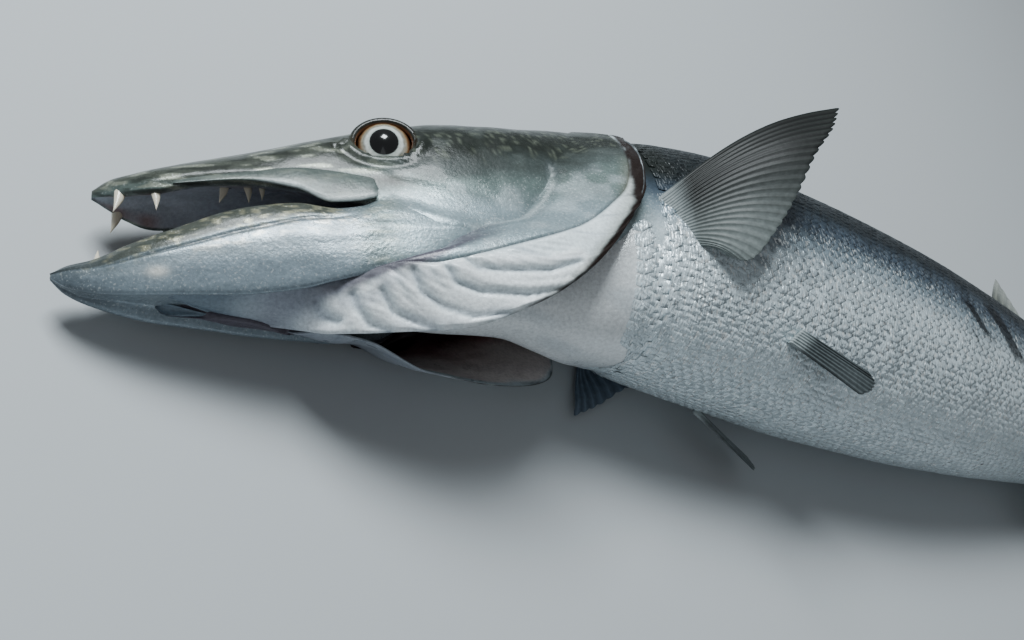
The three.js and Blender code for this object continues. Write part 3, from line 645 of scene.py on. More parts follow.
def cheek_rim_height(p: Array) -> Array:
    """Height of the cheek's bony rim, with the groove beside it, in millimetres."""
    near = cheek_rim_distance(p)
    return 0.26 * bump(near, 0.0, 1.0) - 0.3 * bump(near, 2.6, 1.4)


def crease_distance(p: Array) -> Array:
    """Distance of places on a gill membrane from its nearest deep crease."""
    return np.min([line_distance(p, line) for line in MEMBRANE_CREASES], 0)


class Markings:
    """Colours of a great barracuda fresh from the water, from place on the straight fish."""

    # Trunk.
    back = "#161e23"
    upper_flank = "#3d4955"
    flank = "#8fa0ab"
    belly = "#dfedf3"
    # dark flecks below the breast fin, which also paint the fin's shadow there
    fleck_and_fin_shadow = "#46535f"
    blot = "#0f1318"
    # Head and snout.
    crown = "#171b15"
    head_dusk = "#343837"
    speck = "#98a08c"
    cloud = "#7d8682"
    cheek = "#697875"
    pale = "#98aab2"
    sheen = "#bcc8cc"
    snout = "#3e423b"
    snout_streak = "#a9ad9c"
    snout_dusk = "#1d211d"
    behind_lip = "#37322a"
    rim_shade = "#5a6266"
    rim_bone = "#d3dcdd"
    lip_plate = "#59625f"
    lip_plate_edge = "#b4bdbd"
    # Lids and socket.
    socket = "#3a2c20"
    brow = "#15130d"
    lid_edge = "#7a4a26"
    # Inside of the mouth.
    palate = "#a6b0bb"
    palate_rear = "#7b7f88"
    gum = "#8f7673"
    blood = "#3a1519"
    gill_dark = "#1b0d10"
    # Lower jaw.
    jaw = "#86949c"
    jaw_sheen = "#a9b6bd"
    jaw_low = "#8795a0"
    jaw_speck = "#4b5152"
    lip = "#42463f"
    lip_line = "#24282a"
    gold = "#b9b595"
    glint = "#f4f1e4"
    chin = "#3f474d"
    chin_pit = "#1c1820"
    pale_spot = "#f1f0e8"
    under = "#6f7f8c"
    # painted shade: the dark purple-grey of the shaded gap between the jaw's lower edge and the
    # gill membrane
    groove = "#4b4350"
    # Throat, gill covers and membranes.
    throat_white = "#f2f7f9"
    throat_grey = "#c8d2d8"
    soft = "#e8f4f8"
    seam = "#33393d"
    fold_shade = "#8d97a3"
    # painted highlight on the puffs beside the membrane's deep creases
    crest_highlight = "#fbfdfe"
    # painted shade in the membrane's deep creases
    crease_shade = "#6f7b89"
    # painted shade: darker streaks for the valleys between the membrane's folds
    valley_shade = "#b7bfcb"
    membrane_front = "#a3adbb"
    # painted shade over the far, right flap
    far_flap_shade = "#828b99"
    rim = "#1d1411"
    rim_olive = "#77735c"
    inner_skin = "#c3b8b6"
    inner_red = "#8a6666"
    inner_streak = "#d2c9c4"
    inner_front = "#57535e"

    def blend(self, under: Array, colour: str, amount: Array) -> Array:
        """Lay a colour over another by an amount from 0 to 1."""
        return mix(under, linear(colour), np.clip(amount, 0, 1)[..., None])

    def paint(self, ground: Array | str, *layers: tuple[str, Array]) -> Array:
        """Lay colours over a ground, one after the other, each by its amount at every place."""
        colour = linear(ground) if isinstance(ground, str) else ground
        for over, amount in layers:
            colour = self.blend(colour, over, amount)
        return colour

    def body(self, p: Array) -> Array:
        """Colour of the trunk's skin and scales."""
        s, v = p[..., 0], p[..., 1]
        form = Trunk.table.at(s)
        rise = np.where(v > 0, v / form["top"], -v / form["bottom"])
        rise = rise + (NOISE(p, (34, 20, 20)) - 0.5) * 0.12
        nape = ramp(310, 250, s) * ramp(0.1, 0.4, rise)
        # faint dark bars cross the back about every 34 mm
        bars = ramp(0.25, 0.8, np.sin(s / 34.0 * 2 * np.pi + NOISE(p, 60) * 4))
        # dark flecks just below and behind the breast fin, which also paint the fin's shadow
        fleck = ramp(0.46, 0.62, NOISE(p, (4.5, 3.2, 3.2))) * bump(rise, -0.14, 0.2)
        fleck = fleck * window(s, 282, 300, 340, 400)
        return self.paint(
            self.flank,
            (self.belly, ramp(0.02, -0.28, rise)),
            (self.upper_flank, ramp(-0.05, 0.16, rise)),
            (self.back, ramp(0.16, 0.44, rise)),
            (self.crown, 0.75 * nape),
            (self.back, 0.35 * bars * ramp(0.05, 0.3, rise)),
            (self.fleck_and_fin_shadow, 0.75 * fleck),
            *((self.blot, self.slash(s, v, *row) * 0.93) for row in SLASHES))

    @staticmethod
    def slash(
        s: Array, v: Array, top: float, foot: float, high: float, low: float, wide: float
    ) -> Array:
        """How far one black slash covers each place, from 0 to 1."""
        down = np.clip((high - v) / (high - low), 0, 1)
        inside = ramp(1.25, 0.75, np.abs(s - mix(top, foot, down)) / wide)
        return inside * ramp(high + 4, high - 3, v) * ramp(low - 4, low + 3, v)

    def head(self, p: Array) -> Array:
        """Colour of the upper jaw and head."""
        s, v = p[..., 0], p[..., 1]
        top = Skull.table["top"](s)
        wide = Skull.table["wideV"](s)
        rise = (v - wide) / np.maximum(top - wide, 1)
        grain = NOISE(p, (9, 4, 4)) - 0.5
        wave = NOISE(p, (40, 9, 9)) - 0.5
        rear = ramp(108, 132, s)
        front = 1 - rear
        sheen = ramp(0.55, 0.8, NOISE(p + 90, (12, 6, 6))) * rear
        streak = NOISE(p, (24, 1.8, 1.8))
        behind = bump(s, 122, 11) * bump(v, -3.5 - 0.1 * (s - 124), 3.6)
        colour = self.paint(
            self.cheek,
            (self.pale, 0.8 * ramp(2, -20, v + wave * 8) * rear),
            (self.sheen, 0.35 * sheen * ramp(16, -6, v)))
        return self.paint(
            self.dark_back(colour, p, rear),
            (self.snout, front * ramp(-0.9, 0.2, rise + wave * 0.5 + grain * 0.3)),
            (self.crown, 0.6 * ramp(0.5, 1.0, rise + wave) * front),
            (self.snout_streak, 0.45 * ramp(0.60, 0.74, streak) * front),
            (self.snout_dusk, 0.65 * ramp(0.42, 0.3, streak) * front),
            (self.behind_lip, 0.8 * behind))

    def dark_back(self, colour: Array, p: Array, amount: Array) -> Array:
        """Lay the dark olive of the upper head over a colour, with its silver specks."""
        s, v = p[..., 0], p[..., 1]
        wave = NOISE(p, (26, 9, 9)) - 0.5
        grain = NOISE(p, (7, 3, 3)) - 0.5
        level = v - np.interp(s, *DARK_BORDER) + wave * 9 + grain * 6
        speck = ramp(0.64, 0.80, NOISE(p, (1.5, 1.0, 1.0))) * ramp(6, 16, level)
        cloud = ramp(0.6, 0.8, NOISE(p + 70, (9, 5, 5))) * ramp(-2, 8, level)
        return self.paint(
            colour,
            (self.head_dusk, 0.8 * ramp(-7, 4, level) * amount),
            (self.crown, 0.85 * ramp(2, 16, level) * amount),
            (self.speck, 0.2 * speck * amount),
            (self.cloud, 0.12 * cloud * amount))

    def cheek_line(self, colour: Array, p: Array) -> Array:
        """Lay the pale bony rim of the cheek over a colour."""
        near = cheek_rim_distance(p)
        return self.paint(
            colour,
            (self.rim_shade, 0.3 * bump(near, 2.2, 1.3)),
            (self.rim_bone, 0.38 * bump(near, 0.0, 0.8)))

    def roof(self, p: Array) -> Array:
        """Colour of the roof of the mouth, darker towards the back."""
        s, u = p[..., 0], np.abs(p[..., 2])
        near_fang = bump(s, 13.8, 5.5) + bump(s, 26.6, 5.0) + 0.6 * bump(s, 62, 9)
        gum = ramp(0.5, 0.9, u / Skull.table["rimIn"](s))
        colour = self.paint(
            self.palate,
            (self.gum, 0.8 * gum * near_fang),
            (self.palate_rear, 0.7 * ramp(40, 80, s)),
            (self.gill_dark, ramp(80, 130, s)))
        return mix(colour, colour * 0.75, NOISE(p, (8, 3, 3))[..., None])

    def lower(self, p: Array, inside: Array) -> Array:
        """Colour of the lower jaw.

        Args:
            p: places.
            inside: 1 on the inner faces of the mouth.
        """
        s, v, u = p[..., 0], p[..., 1], np.abs(p[..., 2])
        down, low = Jaw.down(p), Jaw.lip_foot(s)
        wave = NOISE(p, (50, 8, 8)) - 0.5
        band = ramp(low, low - 0.1, down + wave * 0.05) * ramp(110, 94, s)
        gold = ramp(0.56, 0.7, NOISE(p, (3.0, 1.2, 1.2))) * ramp(low + 0.25, low - 0.15, down)
        line = bump(down, low, 0.022) * window(s, 8, 24, 90, 104)
        glint = ramp(0.6, 0.72, NOISE(p + 20, (2.6, 1.6, 1.6)))
        speck = ramp(0.6, 0.8, NOISE(p, 2.6)) * ramp(0.6, 0.1, down)
        beneath = ramp(0.99, 1.02, down) * np.ones_like(s)
        pit = bump(s, 21, 3.6) * bump(u, 3.0, 1.8) * (p[..., 2] > 0)
        outside = self.paint(
            self.jaw,
            (self.lip, band),
            (self.gold, 0.35 * gold * ramp(112, 96, s)),
            (self.lip_line, line * 0.85),
            (self.glint, 0.8 * glint * bump(down, low + 0.1, 0.09) * ramp(30, 60, s)),
            (self.jaw_sheen, 0.5 * bump(down + wave * 0.2, low + 0.2, 0.14)),
            (self.jaw_low, 0.5 * ramp(0.5, 0.8, down + wave * 0.3)),
            (self.chin, 0.75 * ramp(26, -6, s)),
            (self.pale_spot, bump(s, 29, 3.6) * bump(v, -49, 1.8) * 0.9),
            (self.jaw_speck, speck * 0.3),
            (self.under, beneath),
            # painted shade on the jaw's underside, along the gap above the membrane
            (self.groove, 0.45 * beneath * ramp(54, 80, s) * (p[..., 2] > 0)),
            (self.chin_pit, 0.7 * pit * beneath))
        mouth = self.paint(
            self.gum,
            (self.palate, ramp(30, 70, s)),
            (self.blood, 0.6 * ramp(80, 130, s)))
        return mix(outside, mouth, inside[..., None])

    @staticmethod
    def far_side(p: Array, t: Array) -> Array:
        """1 on the right flap, and 0 on the left one, whose front crosses the midline."""
        return (p[..., 2] < -1.5) * ramp(0.2, 0.24, t)

    def throat(self, p: Array) -> Array:
        """Colour of the throat between the gill openings."""
        s, v = p[..., 0], p[..., 1]
        wave = NOISE(p, (30, 12, 12)) - 0.5
        return self.paint(
            self.throat_white,
            (self.throat_grey, 0.5 * ramp(0.0, 0.25, wave)),
            (self.blood, ramp(-46, -33, v + wave * 6) * ramp(222, 196, s)))

    def flap(self, p: Array, w: Array, t: Array, inner: Array, rim: Array) -> Array:
        """Colour of the gill cover and its membrane.

        Args:
            p: places.
            w: from the cheek (0) to the free rim (1).
            t: from the chin (0) to the nape (1).
            inner: 1 on the inner face.
            rim: distance from the free rim in millimetres.
        """
        outer_face = self.membrane(self.cover(p), p, w, t)
        outer_face = self.flap_edge(outer_face, p, t, rim)
        return mix(outer_face, self.flap_inside(p, w, t, rim), inner[..., None])

    def cover(self, p: Array) -> Array:
        """Colour of the bony gill cover."""
        v = p[..., 1]
        wave = NOISE(p, (26, 12, 12)) - 0.5
        sheen = ramp(0.55, 0.8, NOISE(p + 90, (10, 7, 7)))
        colour = self.paint(
            self.cheek,
            (self.pale, 0.8 * ramp(6, -20, v + wave * 12)),
            (self.sheen, 0.4 * sheen * ramp(34, 10, v)))
        return self.cheek_line(self.dark_back(colour, p, np.ones_like(v)), p)

    def membrane(self, colour: Array, p: Array, w: Array, t: Array) -> Array:
        """Lay the pale folded membrane over a flap's colour, past the cover's edge."""
        s, v = p[..., 0], p[..., 1]
        edge = Flap.crease(t)
        soft = ramp(-0.01, 0.02, w - edge)
        seam = bump(w, edge - 0.012, 0.012) * ramp(0.3, 0.36, t)
        rise, across = Skin.fold_rise(p, t, w)
        fold = ramp(0.80, 0.97, rise) + 0.9 * ramp(0.08, 0.0, rise)
        fold = fold * window(across, 0.0, 0.12, 0.86, 1.0) * soft
        near = crease_distance(p)
        # darker streaks painted as shade in the valleys between the folds
        valley_shade = ramp(0.55, 0.8, NOISE(p + 60, (28, 6, 6))) * soft * ramp(0.6, 0.3, t)
        # painted shade in the gap just below the jaw's lower edge
        gap = Jaw.table["lowV"](s) - v
        tuck_shade = ramp(6.5, 1.5, gap) * window(s, 56, 78, 146, 172)
        return self.paint(
            colour,
            (self.soft, soft),
            (self.seam, seam * 0.75),
            (self.fold_shade, fold * 0.45 * ramp(0.3, 0.42, t)),
            # painted highlight on the puffs, and painted shade in the deep creases beside them
            (self.crest_highlight, 0.6 * bump(near, 3.6, 2.4) * soft),
            (self.crease_shade, 0.6 * bump(near, 0.0, 0.8) * soft),
            (self.valley_shade, 0.4 * valley_shade),
            (self.groove, 0.9 * tuck_shade),
            (self.membrane_front, 0.6 * ramp(112, 80, s)),
            (self.under, ramp(78, 52, s)),
            # painted shade over the front half of the far, right flap
            (self.far_flap_shade, 0.8 * ramp(0.6, 0.4, t) * self.far_side(p, t)))

    def flap_edge(self, colour: Array, p: Array, t: Array, rim: Array) -> Array:
        """Lay the dark mottled edge of the free rim over a flap's colour."""
        grain = NOISE(p, (9, 4, 4)) - 0.5
        width = mix(0.8, 5.8, ramp(0.46, 0.70, t))
        edge = ramp(width + 1.4, width - 1.0, rim + 1.6 * grain) * ramp(0.40, 0.52, t)
        mottle = ramp(0.3, 0.6, NOISE(p, (9, 6, 6)) + ramp(0.46, 0.64, t) * 0.7)
        olive = ramp(width * 2 + 2, width, rim) * window(t, 0.44, 0.58, 0.8, 0.9)
        return self.paint(colour, (self.rim_olive, 0.5 * olive), (self.rim, edge * mottle))

    def flap_inside(self, p: Array, w: Array, t: Array, rim: Array) -> Array:
        """Colour of a flap's inner face, from blood red at its root to pale at its rim."""
        wave = NOISE(p, (26, 12, 12)) - 0.5
        grain = NOISE(p, (9, 4, 4)) - 0.5
        streak = ramp(0.5, 0.75, NOISE(p, (40, 4, 4)))
        return self.paint(
            self.inner_skin,
            (self.inner_red, ramp(0.85, 0.6, w + wave * 0.3)),
            (self.blood, ramp(0.7, 0.45, w + wave * 0.2)),
            (self.gill_dark, ramp(0.5, 0.25, w)),
            (self.inner_streak, streak * 0.55 * ramp(0.45, 0.8, w)),
            (self.pale, 0.8 * ramp(5.0, 1.5, rim + 3 * grain)),
            (self.rim, 0.8 * ramp(0.55, 0.62, t) * ramp(3.0, 1.0, rim + 4 * grain)),
            (self.inner_front, ramp(0.32, 0.22, t)))


MARKS = Markings()

# Meshes from bent grids.
@dataclass
class Patch:
    """One surface of the skin: a grid of points with what its material reads.

    Attributes:
        points: s, v and u for each row and column.
        tint: linear colour for each point.
        silver: how mirror-like the skin is at each point.
    """

    points: Array
    tint: Array
    silver: Array

    def build(self, name: str) -> Mesh:
        """Bend a plain grid into the patch's shape.

        Args:
            name: the mesh's name.

        Returns:
            A closed mesh with tint, silver and fish attributes.
        """
        points, tint, silver = (
            np.concatenate([grid, grid[:, :1]], 1)
            for grid in (self.points, self.tint, self.silver))
        rows, columns = points.shape[:2]
        shape = bmesh.new()
        bmesh.ops.create_grid(shape, x_segments=rows - 1, y_segments=columns - 1, size=0.5)
        place = np.array([vert.co[:2] for vert in shape.verts]) + 0.5
        mesh = finished(shape, name)
        i = np.rint(place[:, 0] * (rows - 1)).astype(int)
        j = np.rint(place[:, 1] * (columns - 1)).astype(int)
        mesh.vertices.foreach_set("co", LINE.pose(points)[i, j].astype(np.float32).ravel())
        add_attribute(mesh, "tint", np.c_[tint[i, j], np.ones(len(i))])
        add_attribute(mesh, "silver", silver[i, j])
        add_attribute(mesh, "fish", points[i, j] / 1000)
        close_mesh(mesh)
        return mesh


def add_attribute(mesh: Mesh, name: str, values: Array) -> None:
    """Store one value, vector or colour for each vertex."""
    kind, values_name = {
        1: ("FLOAT", "value"), 3: ("FLOAT_VECTOR", "vector"), 4: ("FLOAT_COLOR", "color"),
    }[1 if values.ndim == 1 else values.shape[1]]
    layer = mesh.attributes.new(name, kind, "POINT")
    layer.data.foreach_set(values_name, values.astype(np.float32).ravel())


def finished(shape: bmesh.types.BMesh, name: str) -> Mesh:
    """A mesh from a shape that is used up."""
    mesh = bpy.data.meshes.new(name)
    shape.to_mesh(mesh)
    shape.free()
    return mesh


def close_mesh(mesh: Mesh, merge: float = 2e-5) -> None:
    """Weld a mesh's seam, fill its open ends and point its faces outwards."""
    shape = bmesh.new()
    shape.from_mesh(mesh)
    bmesh.ops.remove_doubles(shape, verts=shape.verts, dist=merge)
    open_edges = [edge for edge in shape.edges if edge.is_boundary]
    if open_edges:
        bmesh.ops.holes_fill(shape, edges=open_edges, sides=0)
    bmesh.ops.recalc_face_normals(shape, faces=shape.faces)
    shape.to_mesh(mesh)
    shape.free()


def show(name: str, data: bpy.types.ID) -> Piece:
    """A new object in the scene."""
    piece = bpy.data.objects.new(name, data)
    bpy.context.scene.collection.objects.link(piece)
    return piece


def join_meshes(name: str, meshes: Sequence[Mesh]) -> Piece:
    """One object from several meshes, with smooth shading.

    Args:
        name: the object's name.
        meshes: the meshes, which are used up.

    Returns:
        The new object, linked to the scene.
    """
    shape = bmesh.new()
    for mesh in meshes:
        shape.from_mesh(mesh)
        bpy.data.meshes.remove(mesh)
    whole = finished(shape, name)
    whole.polygons.foreach_set("use_smooth", np.ones(len(whole.polygons), bool))
    return show(name, whole)


def mirrored_columns(half: Array) -> Array:
    """A full ring of columns from the left half, whose ends lie on the midline."""
    right = half[:, -2:0:-1] * np.array([1, 1, -1])
    return np.concatenate([half, right], 1)


def full_ring(q: Array) -> Array:
    """Places round the section of every column that mirrored_columns gives, as one row."""
    return np.concatenate([q, q[-2:0:-1]])[None, :]


def ring_normals(points: Array) -> Array:
    """Outward directions of a ring grid, across its sections."""
    across = np.roll(points, -1, 1) - np.roll(points, 1, 1)
    along = np.gradient(points, axis=0)
    normal = unit(np.cross(along, across))
    centre = points.mean(1, keepdims=True)
    outward = np.sign(((points - centre) * normal).sum(-1).mean())
    return normal * outward


def silver_share(tint: Array) -> Array:
    """How silvery skin of a colour is: dark pigment covers the silver below it."""
    return ramp(0.02, 0.22, tint.mean(-1))


# The skin.
@dataclass
class Skin:
    """The whole skin: body, jaws, throat, gill flaps and eye rims, as one piece."""

    body_columns: int = 73
    # How deep the skin lies inside the coat of scales, in millimetres.
    coat_depth: float = 0.6
    # Half width and half height of the opening between the lids, in millimetres.
    lid: tuple[float, float] = (12.2, 9.3)
    # How far into the head the socket's floor lies below the lids, in millimetres.
    socket_depth: float = 4.0
    jaw_end: float = 157.0
    # How far the cheek is carried down over the rear of the jaw, in millimetres.
    cheek_drop: float = 8.0
    lip_plate = Table("top bottom u thick", [
        (34, -3.6, -6.6, 17.6, 1.2), (60, 1.4, -4.6, 22.8, 2.0), (83, 3.0, -9.0, 28.2, 3.0),
        (97, 1.4, -16.2, 31.4, 3.2), (108, -0.6, -15.4, 33.6, 3.2),
        (114, -2.0, -13.8, 34.8, 3.0), (116.5, -2.6, -13.2, 35.2, 2.4),
    ])

    @staticmethod
    def eye_frame(side: Array) -> tuple[Array, Array, Array, Array]:
        """An eye's centre, its outward axis and its two cross directions.

        Args:
            side: 1 for the left and -1 for the right, with a last axis of one.
        """
        one = np.ones_like(side)
        centre = np.concatenate([EYE_CENTRE[0] * one, EYE_CENTRE[1] * one,
                                 EYE_CENTRE[2] * side], -1)
        axis = unit(np.concatenate([EYE_LOOK[0] * one, EYE_LOOK[1] * one, side], -1))
        up = unit(np.array([0, 1.0, 0]) - axis * axis[..., 1:2])
        return centre, axis, np.cross(up, axis) * side, up

    def eye_offsets(self, points: Array) -> tuple[Array, Array, Array, Array]:
        """Place of points about the nearer eye.

        Args:
            points: places on the skin.

        Returns:
            Oval distance (1 at the lids), height along the axis, rise, and the axis.
        """
        side = np.where(points[..., 2:3] < 0, -1.0, 1.0)
        centre, axis, along, up = self.eye_frame(side)
        offset = points - centre
        height = (offset * axis).sum(-1)
        x, y = (offset * along).sum(-1), (offset * up).sum(-1)
        return np.hypot(x / self.lid[0], y / self.lid[1]), height, y, axis

    def body(self) -> Patch:
        """Head and trunk as one smooth sleeve, with the roof of the mouth."""
        # rows stand close together on the snout and the head, and far apart under the scales
        s = steps((3.6, 12, 12), (13, 250, 172), (253, TAIL_ROOT, 52))
        q = np.linspace(0, 1, self.body_columns)
        head_v, head_u = self.over_jaw(s, q, *Skull.outline(np.minimum(s, HEAD_END), q))
        trunk_v, trunk_u = Trunk.outline(np.maximum(s, HEAD_END - 10), q)
        share = ramp(243, 259, s)[:, None]
        points = mirrored_columns(section_grid(
            s, mix(head_v, trunk_v, share), mix(head_u, trunk_u, share)))
        normal = ring_normals(points)
        depth = self.head_relief(points) - self.coat_depth * ramp(246, 262, points[..., 0])
        points = points + normal * depth[..., None]
        reach, height, _, axis = self.eye_offsets(points)
        sink = ramp(1.16, 0.98, reach) * (height > -2)
        points = points - axis * (sink * np.maximum(height + self.socket_depth, 0))[..., None]
        full_q = full_ring(q)
        inside = ramp(0.70, 0.73, full_q) * ramp(252, 240, points[..., 0])
        tint = mix(MARKS.cheek_line(MARKS.head(points), points), MARKS.body(points),
                   ramp(238, 256, points[..., 0] + 0.25 * points[..., 1])[..., None])
        tint = mix(tint, MARKS.roof(points), inside[..., None])
        socket = ramp(1.22, 1.06, reach) * (height > -4)
        tint = MARKS.blend(tint, MARKS.socket, socket * 0.85)
        silver = (1 - inside) * (1 - socket) * silver_share(tint)
        return Patch(points, tint, silver)

    def over_jaw(self, s: Array, q: Array, v: Array, u: Array) -> tuple[Array, Array]:
        """Carry the cheek a little way down over the rear of the lower jaw.

        Args:
            s: stations, one for each row.
            q: place round the section, one for each column.
            v: heights of the head's section.
            u: half widths of the head's section.

        Returns:
            The changed v and u.
        """
        v, u = v.copy(), u.copy()
        share = window(s, 111, 121, 154, 164)
        t = np.clip((q - Skull.crown) / (Skull.cheek - Skull.crown), 0, 1)
        turn = np.clip((q - Skull.cheek) / (Skull.lip - Skull.cheek), 0, 1)
        side = (q > Skull.crown) & (q <= Skull.cheek)
        edge = (q > Skull.cheek) & (q <= Skull.lip)
        last = int(np.nonzero(side)[0][-1])
        for row in np.nonzero(share > 0)[0]:
            jaw_v, jaw_u = Jaw.outline(
                s[row:row + 1].clip(None, self.jaw_end), np.linspace(0.37, 0.8, 50))
            order = np.argsort(jaw_v[0])
            old_v, old_u = v[row].copy(), u[row].copy()
            v[row] = old_v - self.cheek_drop * share[row] * ramp(0.35, 1.0, t) * (side | edge)
            climb = np.argsort(old_v[side])
            plain = np.interp(v[row], old_v[side][climb], old_u[side][climb])
            cover = np.interp(v[row], jaw_v[0][order], jaw_u[0][order]) + 0.6
            cover = mix(plain - 3, cover, share[row])
            full = (plain + cover + np.sqrt((plain - cover) ** 2 + 1.5)) / 2
            full = full - 1.9 * ramp(0.80, 1.0, t)
            u[row] = np.where(side, mix(old_u, full, share[row]), old_u)
            shift = u[row, last] - old_u[last]
            u[row] = np.where(edge, old_u + shift * (1 - turn), u[row])
        return v, u

    def head_relief(self, p: Array) -> Array:
        """Ridges, grooves and pores of the head, as height above the plain form.

        Args:
            p: places on the plain form.

        Returns:
            Height in millimetres.
        """
        s, v, u = p[..., 0], p[..., 1], np.abs(p[..., 2])
        top = Skull.table["top"](s)
        wide = Skull.table["wide"](s)
        crown = ramp(0.2, 0.8, (v - Skull.table["wideV"](s)) / np.maximum(top, 4))
        fade = window(s, 18, 45, 225, 246)
        across = u / np.maximum(wide, 1)
        ridge = 0.55 * bump(across, 0.30, 0.07) - 0.6 * bump(across, 0.46, 0.07)
        ridge = ridge + 0.6 * bump(across, 0.62, 0.08) - 0.4 * bump(across, 0.14, 0.07)
        height = ridge * crown * fade
        reach, level, rise, _ = self.eye_offsets(p)
        near = (level > -8) * ramp(4, -4, rise)
        height += near * 1.3 * bump(reach, 1.42, 0.13)
        height -= near * 0.7 * bump(reach, 1.78, 0.16)
        below = mix(2, -3, ramp(110, 150, s)) - 0.004 * (s - 125) ** 2
        height -= 0.5 * bump(v, below, 2.0) * window(s, 118, 126, 160, 172)
        outer = Skull.table["rimV"](s)
        height += 0.5 * bump(v, outer + 4, 2.2) * window(s, 14, 24, 60, 90)
        for at, rise in ((104.5, 17.0), (100.0, 16.0)):
            pore = np.hypot(s - at, v - rise)
            height += 0.35 * bump(pore, 2.6, 0.8) - 1.4 * ramp(2.1, 0.6, pore)
        height += cheek_rim_height(p)
        return height + 0.22 * (NOISE(p, 5.0) - 0.5) + 0.5 * (NOISE(p, (30, 12, 12)) - 0.5)

    def jaw(self) -> Patch:
        """The lower jaw with its lip, grooves and the thin floor between its arms."""
        s = steps((-9.5, 4, 16), (5.5, self.jaw_end, 100))
        q = steps((0, 0.4, 15), (0.407, 0.62, 32), (0.635, 1, 22))
        points = mirrored_columns(section_grid(s, *Jaw.outline(s, q)))
        down = Jaw.down(points)
        full_q = full_ring(q)
        outer = window(full_q, 0.38, 0.42, 0.8, 0.86)
        along = points[..., 0]
        line = Jaw.lip_foot(along)
        height = -0.7 * bump(down, line, 0.02) * window(along, 4, 18, 92, 108)
        height += 0.5 * bump(down, line * 0.5, 0.12)
        height += 0.5 * (NOISE(points, (26, 6, 6)) - 0.5)
        points = points + ring_normals(points) * (height * outer)[..., None]
        inside = ramp(0.36, 0.33, full_q) * np.ones_like(down)
        tint = MARKS.lower(points, inside)
        rear = ramp(98, 120, along) * (1 - inside) * ramp(1.0, 0.9, down)
        tint = mix(tint, MARKS.head(points), rear[..., None])
        return Patch(points, tint, (1 - inside) * silver_share(tint))

    def throat(self) -> Patch:
        """The throat between the gill openings."""
        s = np.linspace(108, 266, 56)
        points = mirrored_columns(section_grid(s, *Throat.outline(s, np.linspace(0, 1, 31))))
        under_coat = self.coat_depth * ramp(230, 240, points[..., :1])
        points = points - ring_normals(points) * under_coat
        silver = mix(0.2, 0.9, ramp(212, 242, points[..., 0]))
        return Patch(points, MARKS.throat(points), silver)

    def flap(self, side: Side) -> Patch:
        """One gill cover with its membrane, thick enough to be solid, with its folds."""
        form = Flap(side)
        # the flap that the camera sees has twice as many rows
        front, middle, rear, columns = {
            Side.LEFT: (42, 112, 62, 56), Side.RIGHT: (25, 50, 35, 36)}[side]
        t = steps((0.004, 0.262, front), (0.265, 0.56, middle), (0.566, 1.0, rear))
        w = steps((0.0, 0.965, columns), (0.972, 1.0, 7))
        outer = form.surface(t, w)
        along = form.surface(t + 1e-3, w) - form.surface(t - 1e-3, w)
        across = form.surface(t, w + 1e-3) - form.surface(t, w - 1e-3)
        normal = unit(np.cross(across, along))
        normal = normal * (side.value if normal[..., 2].mean() > 0 else -side.value)
        grid_t, grid_w = np.meshgrid(t, w, indexing="ij")
        calm = 1.0 if side is Side.LEFT else mix(0.2, 0.7, ramp(0.4, 0.7, grid_t))
        height = self.flap_relief(outer, grid_t, grid_w) * calm
        height -= 2.4 * ramp(0.11, 0.0, grid_t) * ramp(0.0, 0.2, grid_w)
        height -= 1.2 * ramp(0.22, 0.08, grid_t) * ramp(0.7, 1.0, grid_w)
        thick = mix(2.6, 1.2, grid_w)
        roll = np.sqrt(np.clip(1 - ((grid_w - 0.975) / 0.025).clip(0, 1) ** 2, 0, 1))
        outside = outer + normal * (height - 0.5 * thick * (1 - roll))[..., None]
        within = outer - normal * (thick * (0.5 + 0.5 * roll) - height * 0.7)[..., None]
        points = np.concatenate([outside, within[:, -2::-1]], 1)
        full_w = np.concatenate([grid_w, grid_w[:, -2::-1]], 1)
        full_t = np.concatenate([grid_t, grid_t[:, -2::-1]], 1)
        inner = np.zeros_like(full_w)
        inner[:, len(w):] = 1
        rim = np.linalg.norm(points - points[:, len(w) - 1:len(w)], axis=-1)
        tint = MARKS.flap(points, full_w, full_t, inner, rim)
        hard = ramp(0.04, -0.04, full_w - Flap.crease(full_t))
        return Patch(points, tint, (1 - inner) * mix(0.12, 1.0, hard) * silver_share(tint))

    @staticmethod
    def fold_phase(p: Array, t: Array, w: Array) -> tuple[Array, Array]:
        """Count of the membrane's folds, and how far across the membrane a place is."""
        edge = Flap.crease(t)
        across = np.clip((w - edge) / (1 - edge), 0, 1)
        phase = Flap.folds * (t - 0.07 * np.log(1 / (1.06 - across)))
        return phase + 0.35 * (NOISE(p, (30, 16, 16)) - 0.5), across

    @classmethod
    def fold_rise(cls, p: Array, t: Array, w: Array) -> tuple[Array, Array]:
        """How far up its own fold a place is, from 0 to 1, and how far across."""
        phase, across = cls.fold_phase(p, t, w)
        return phase - np.floor(phase), across

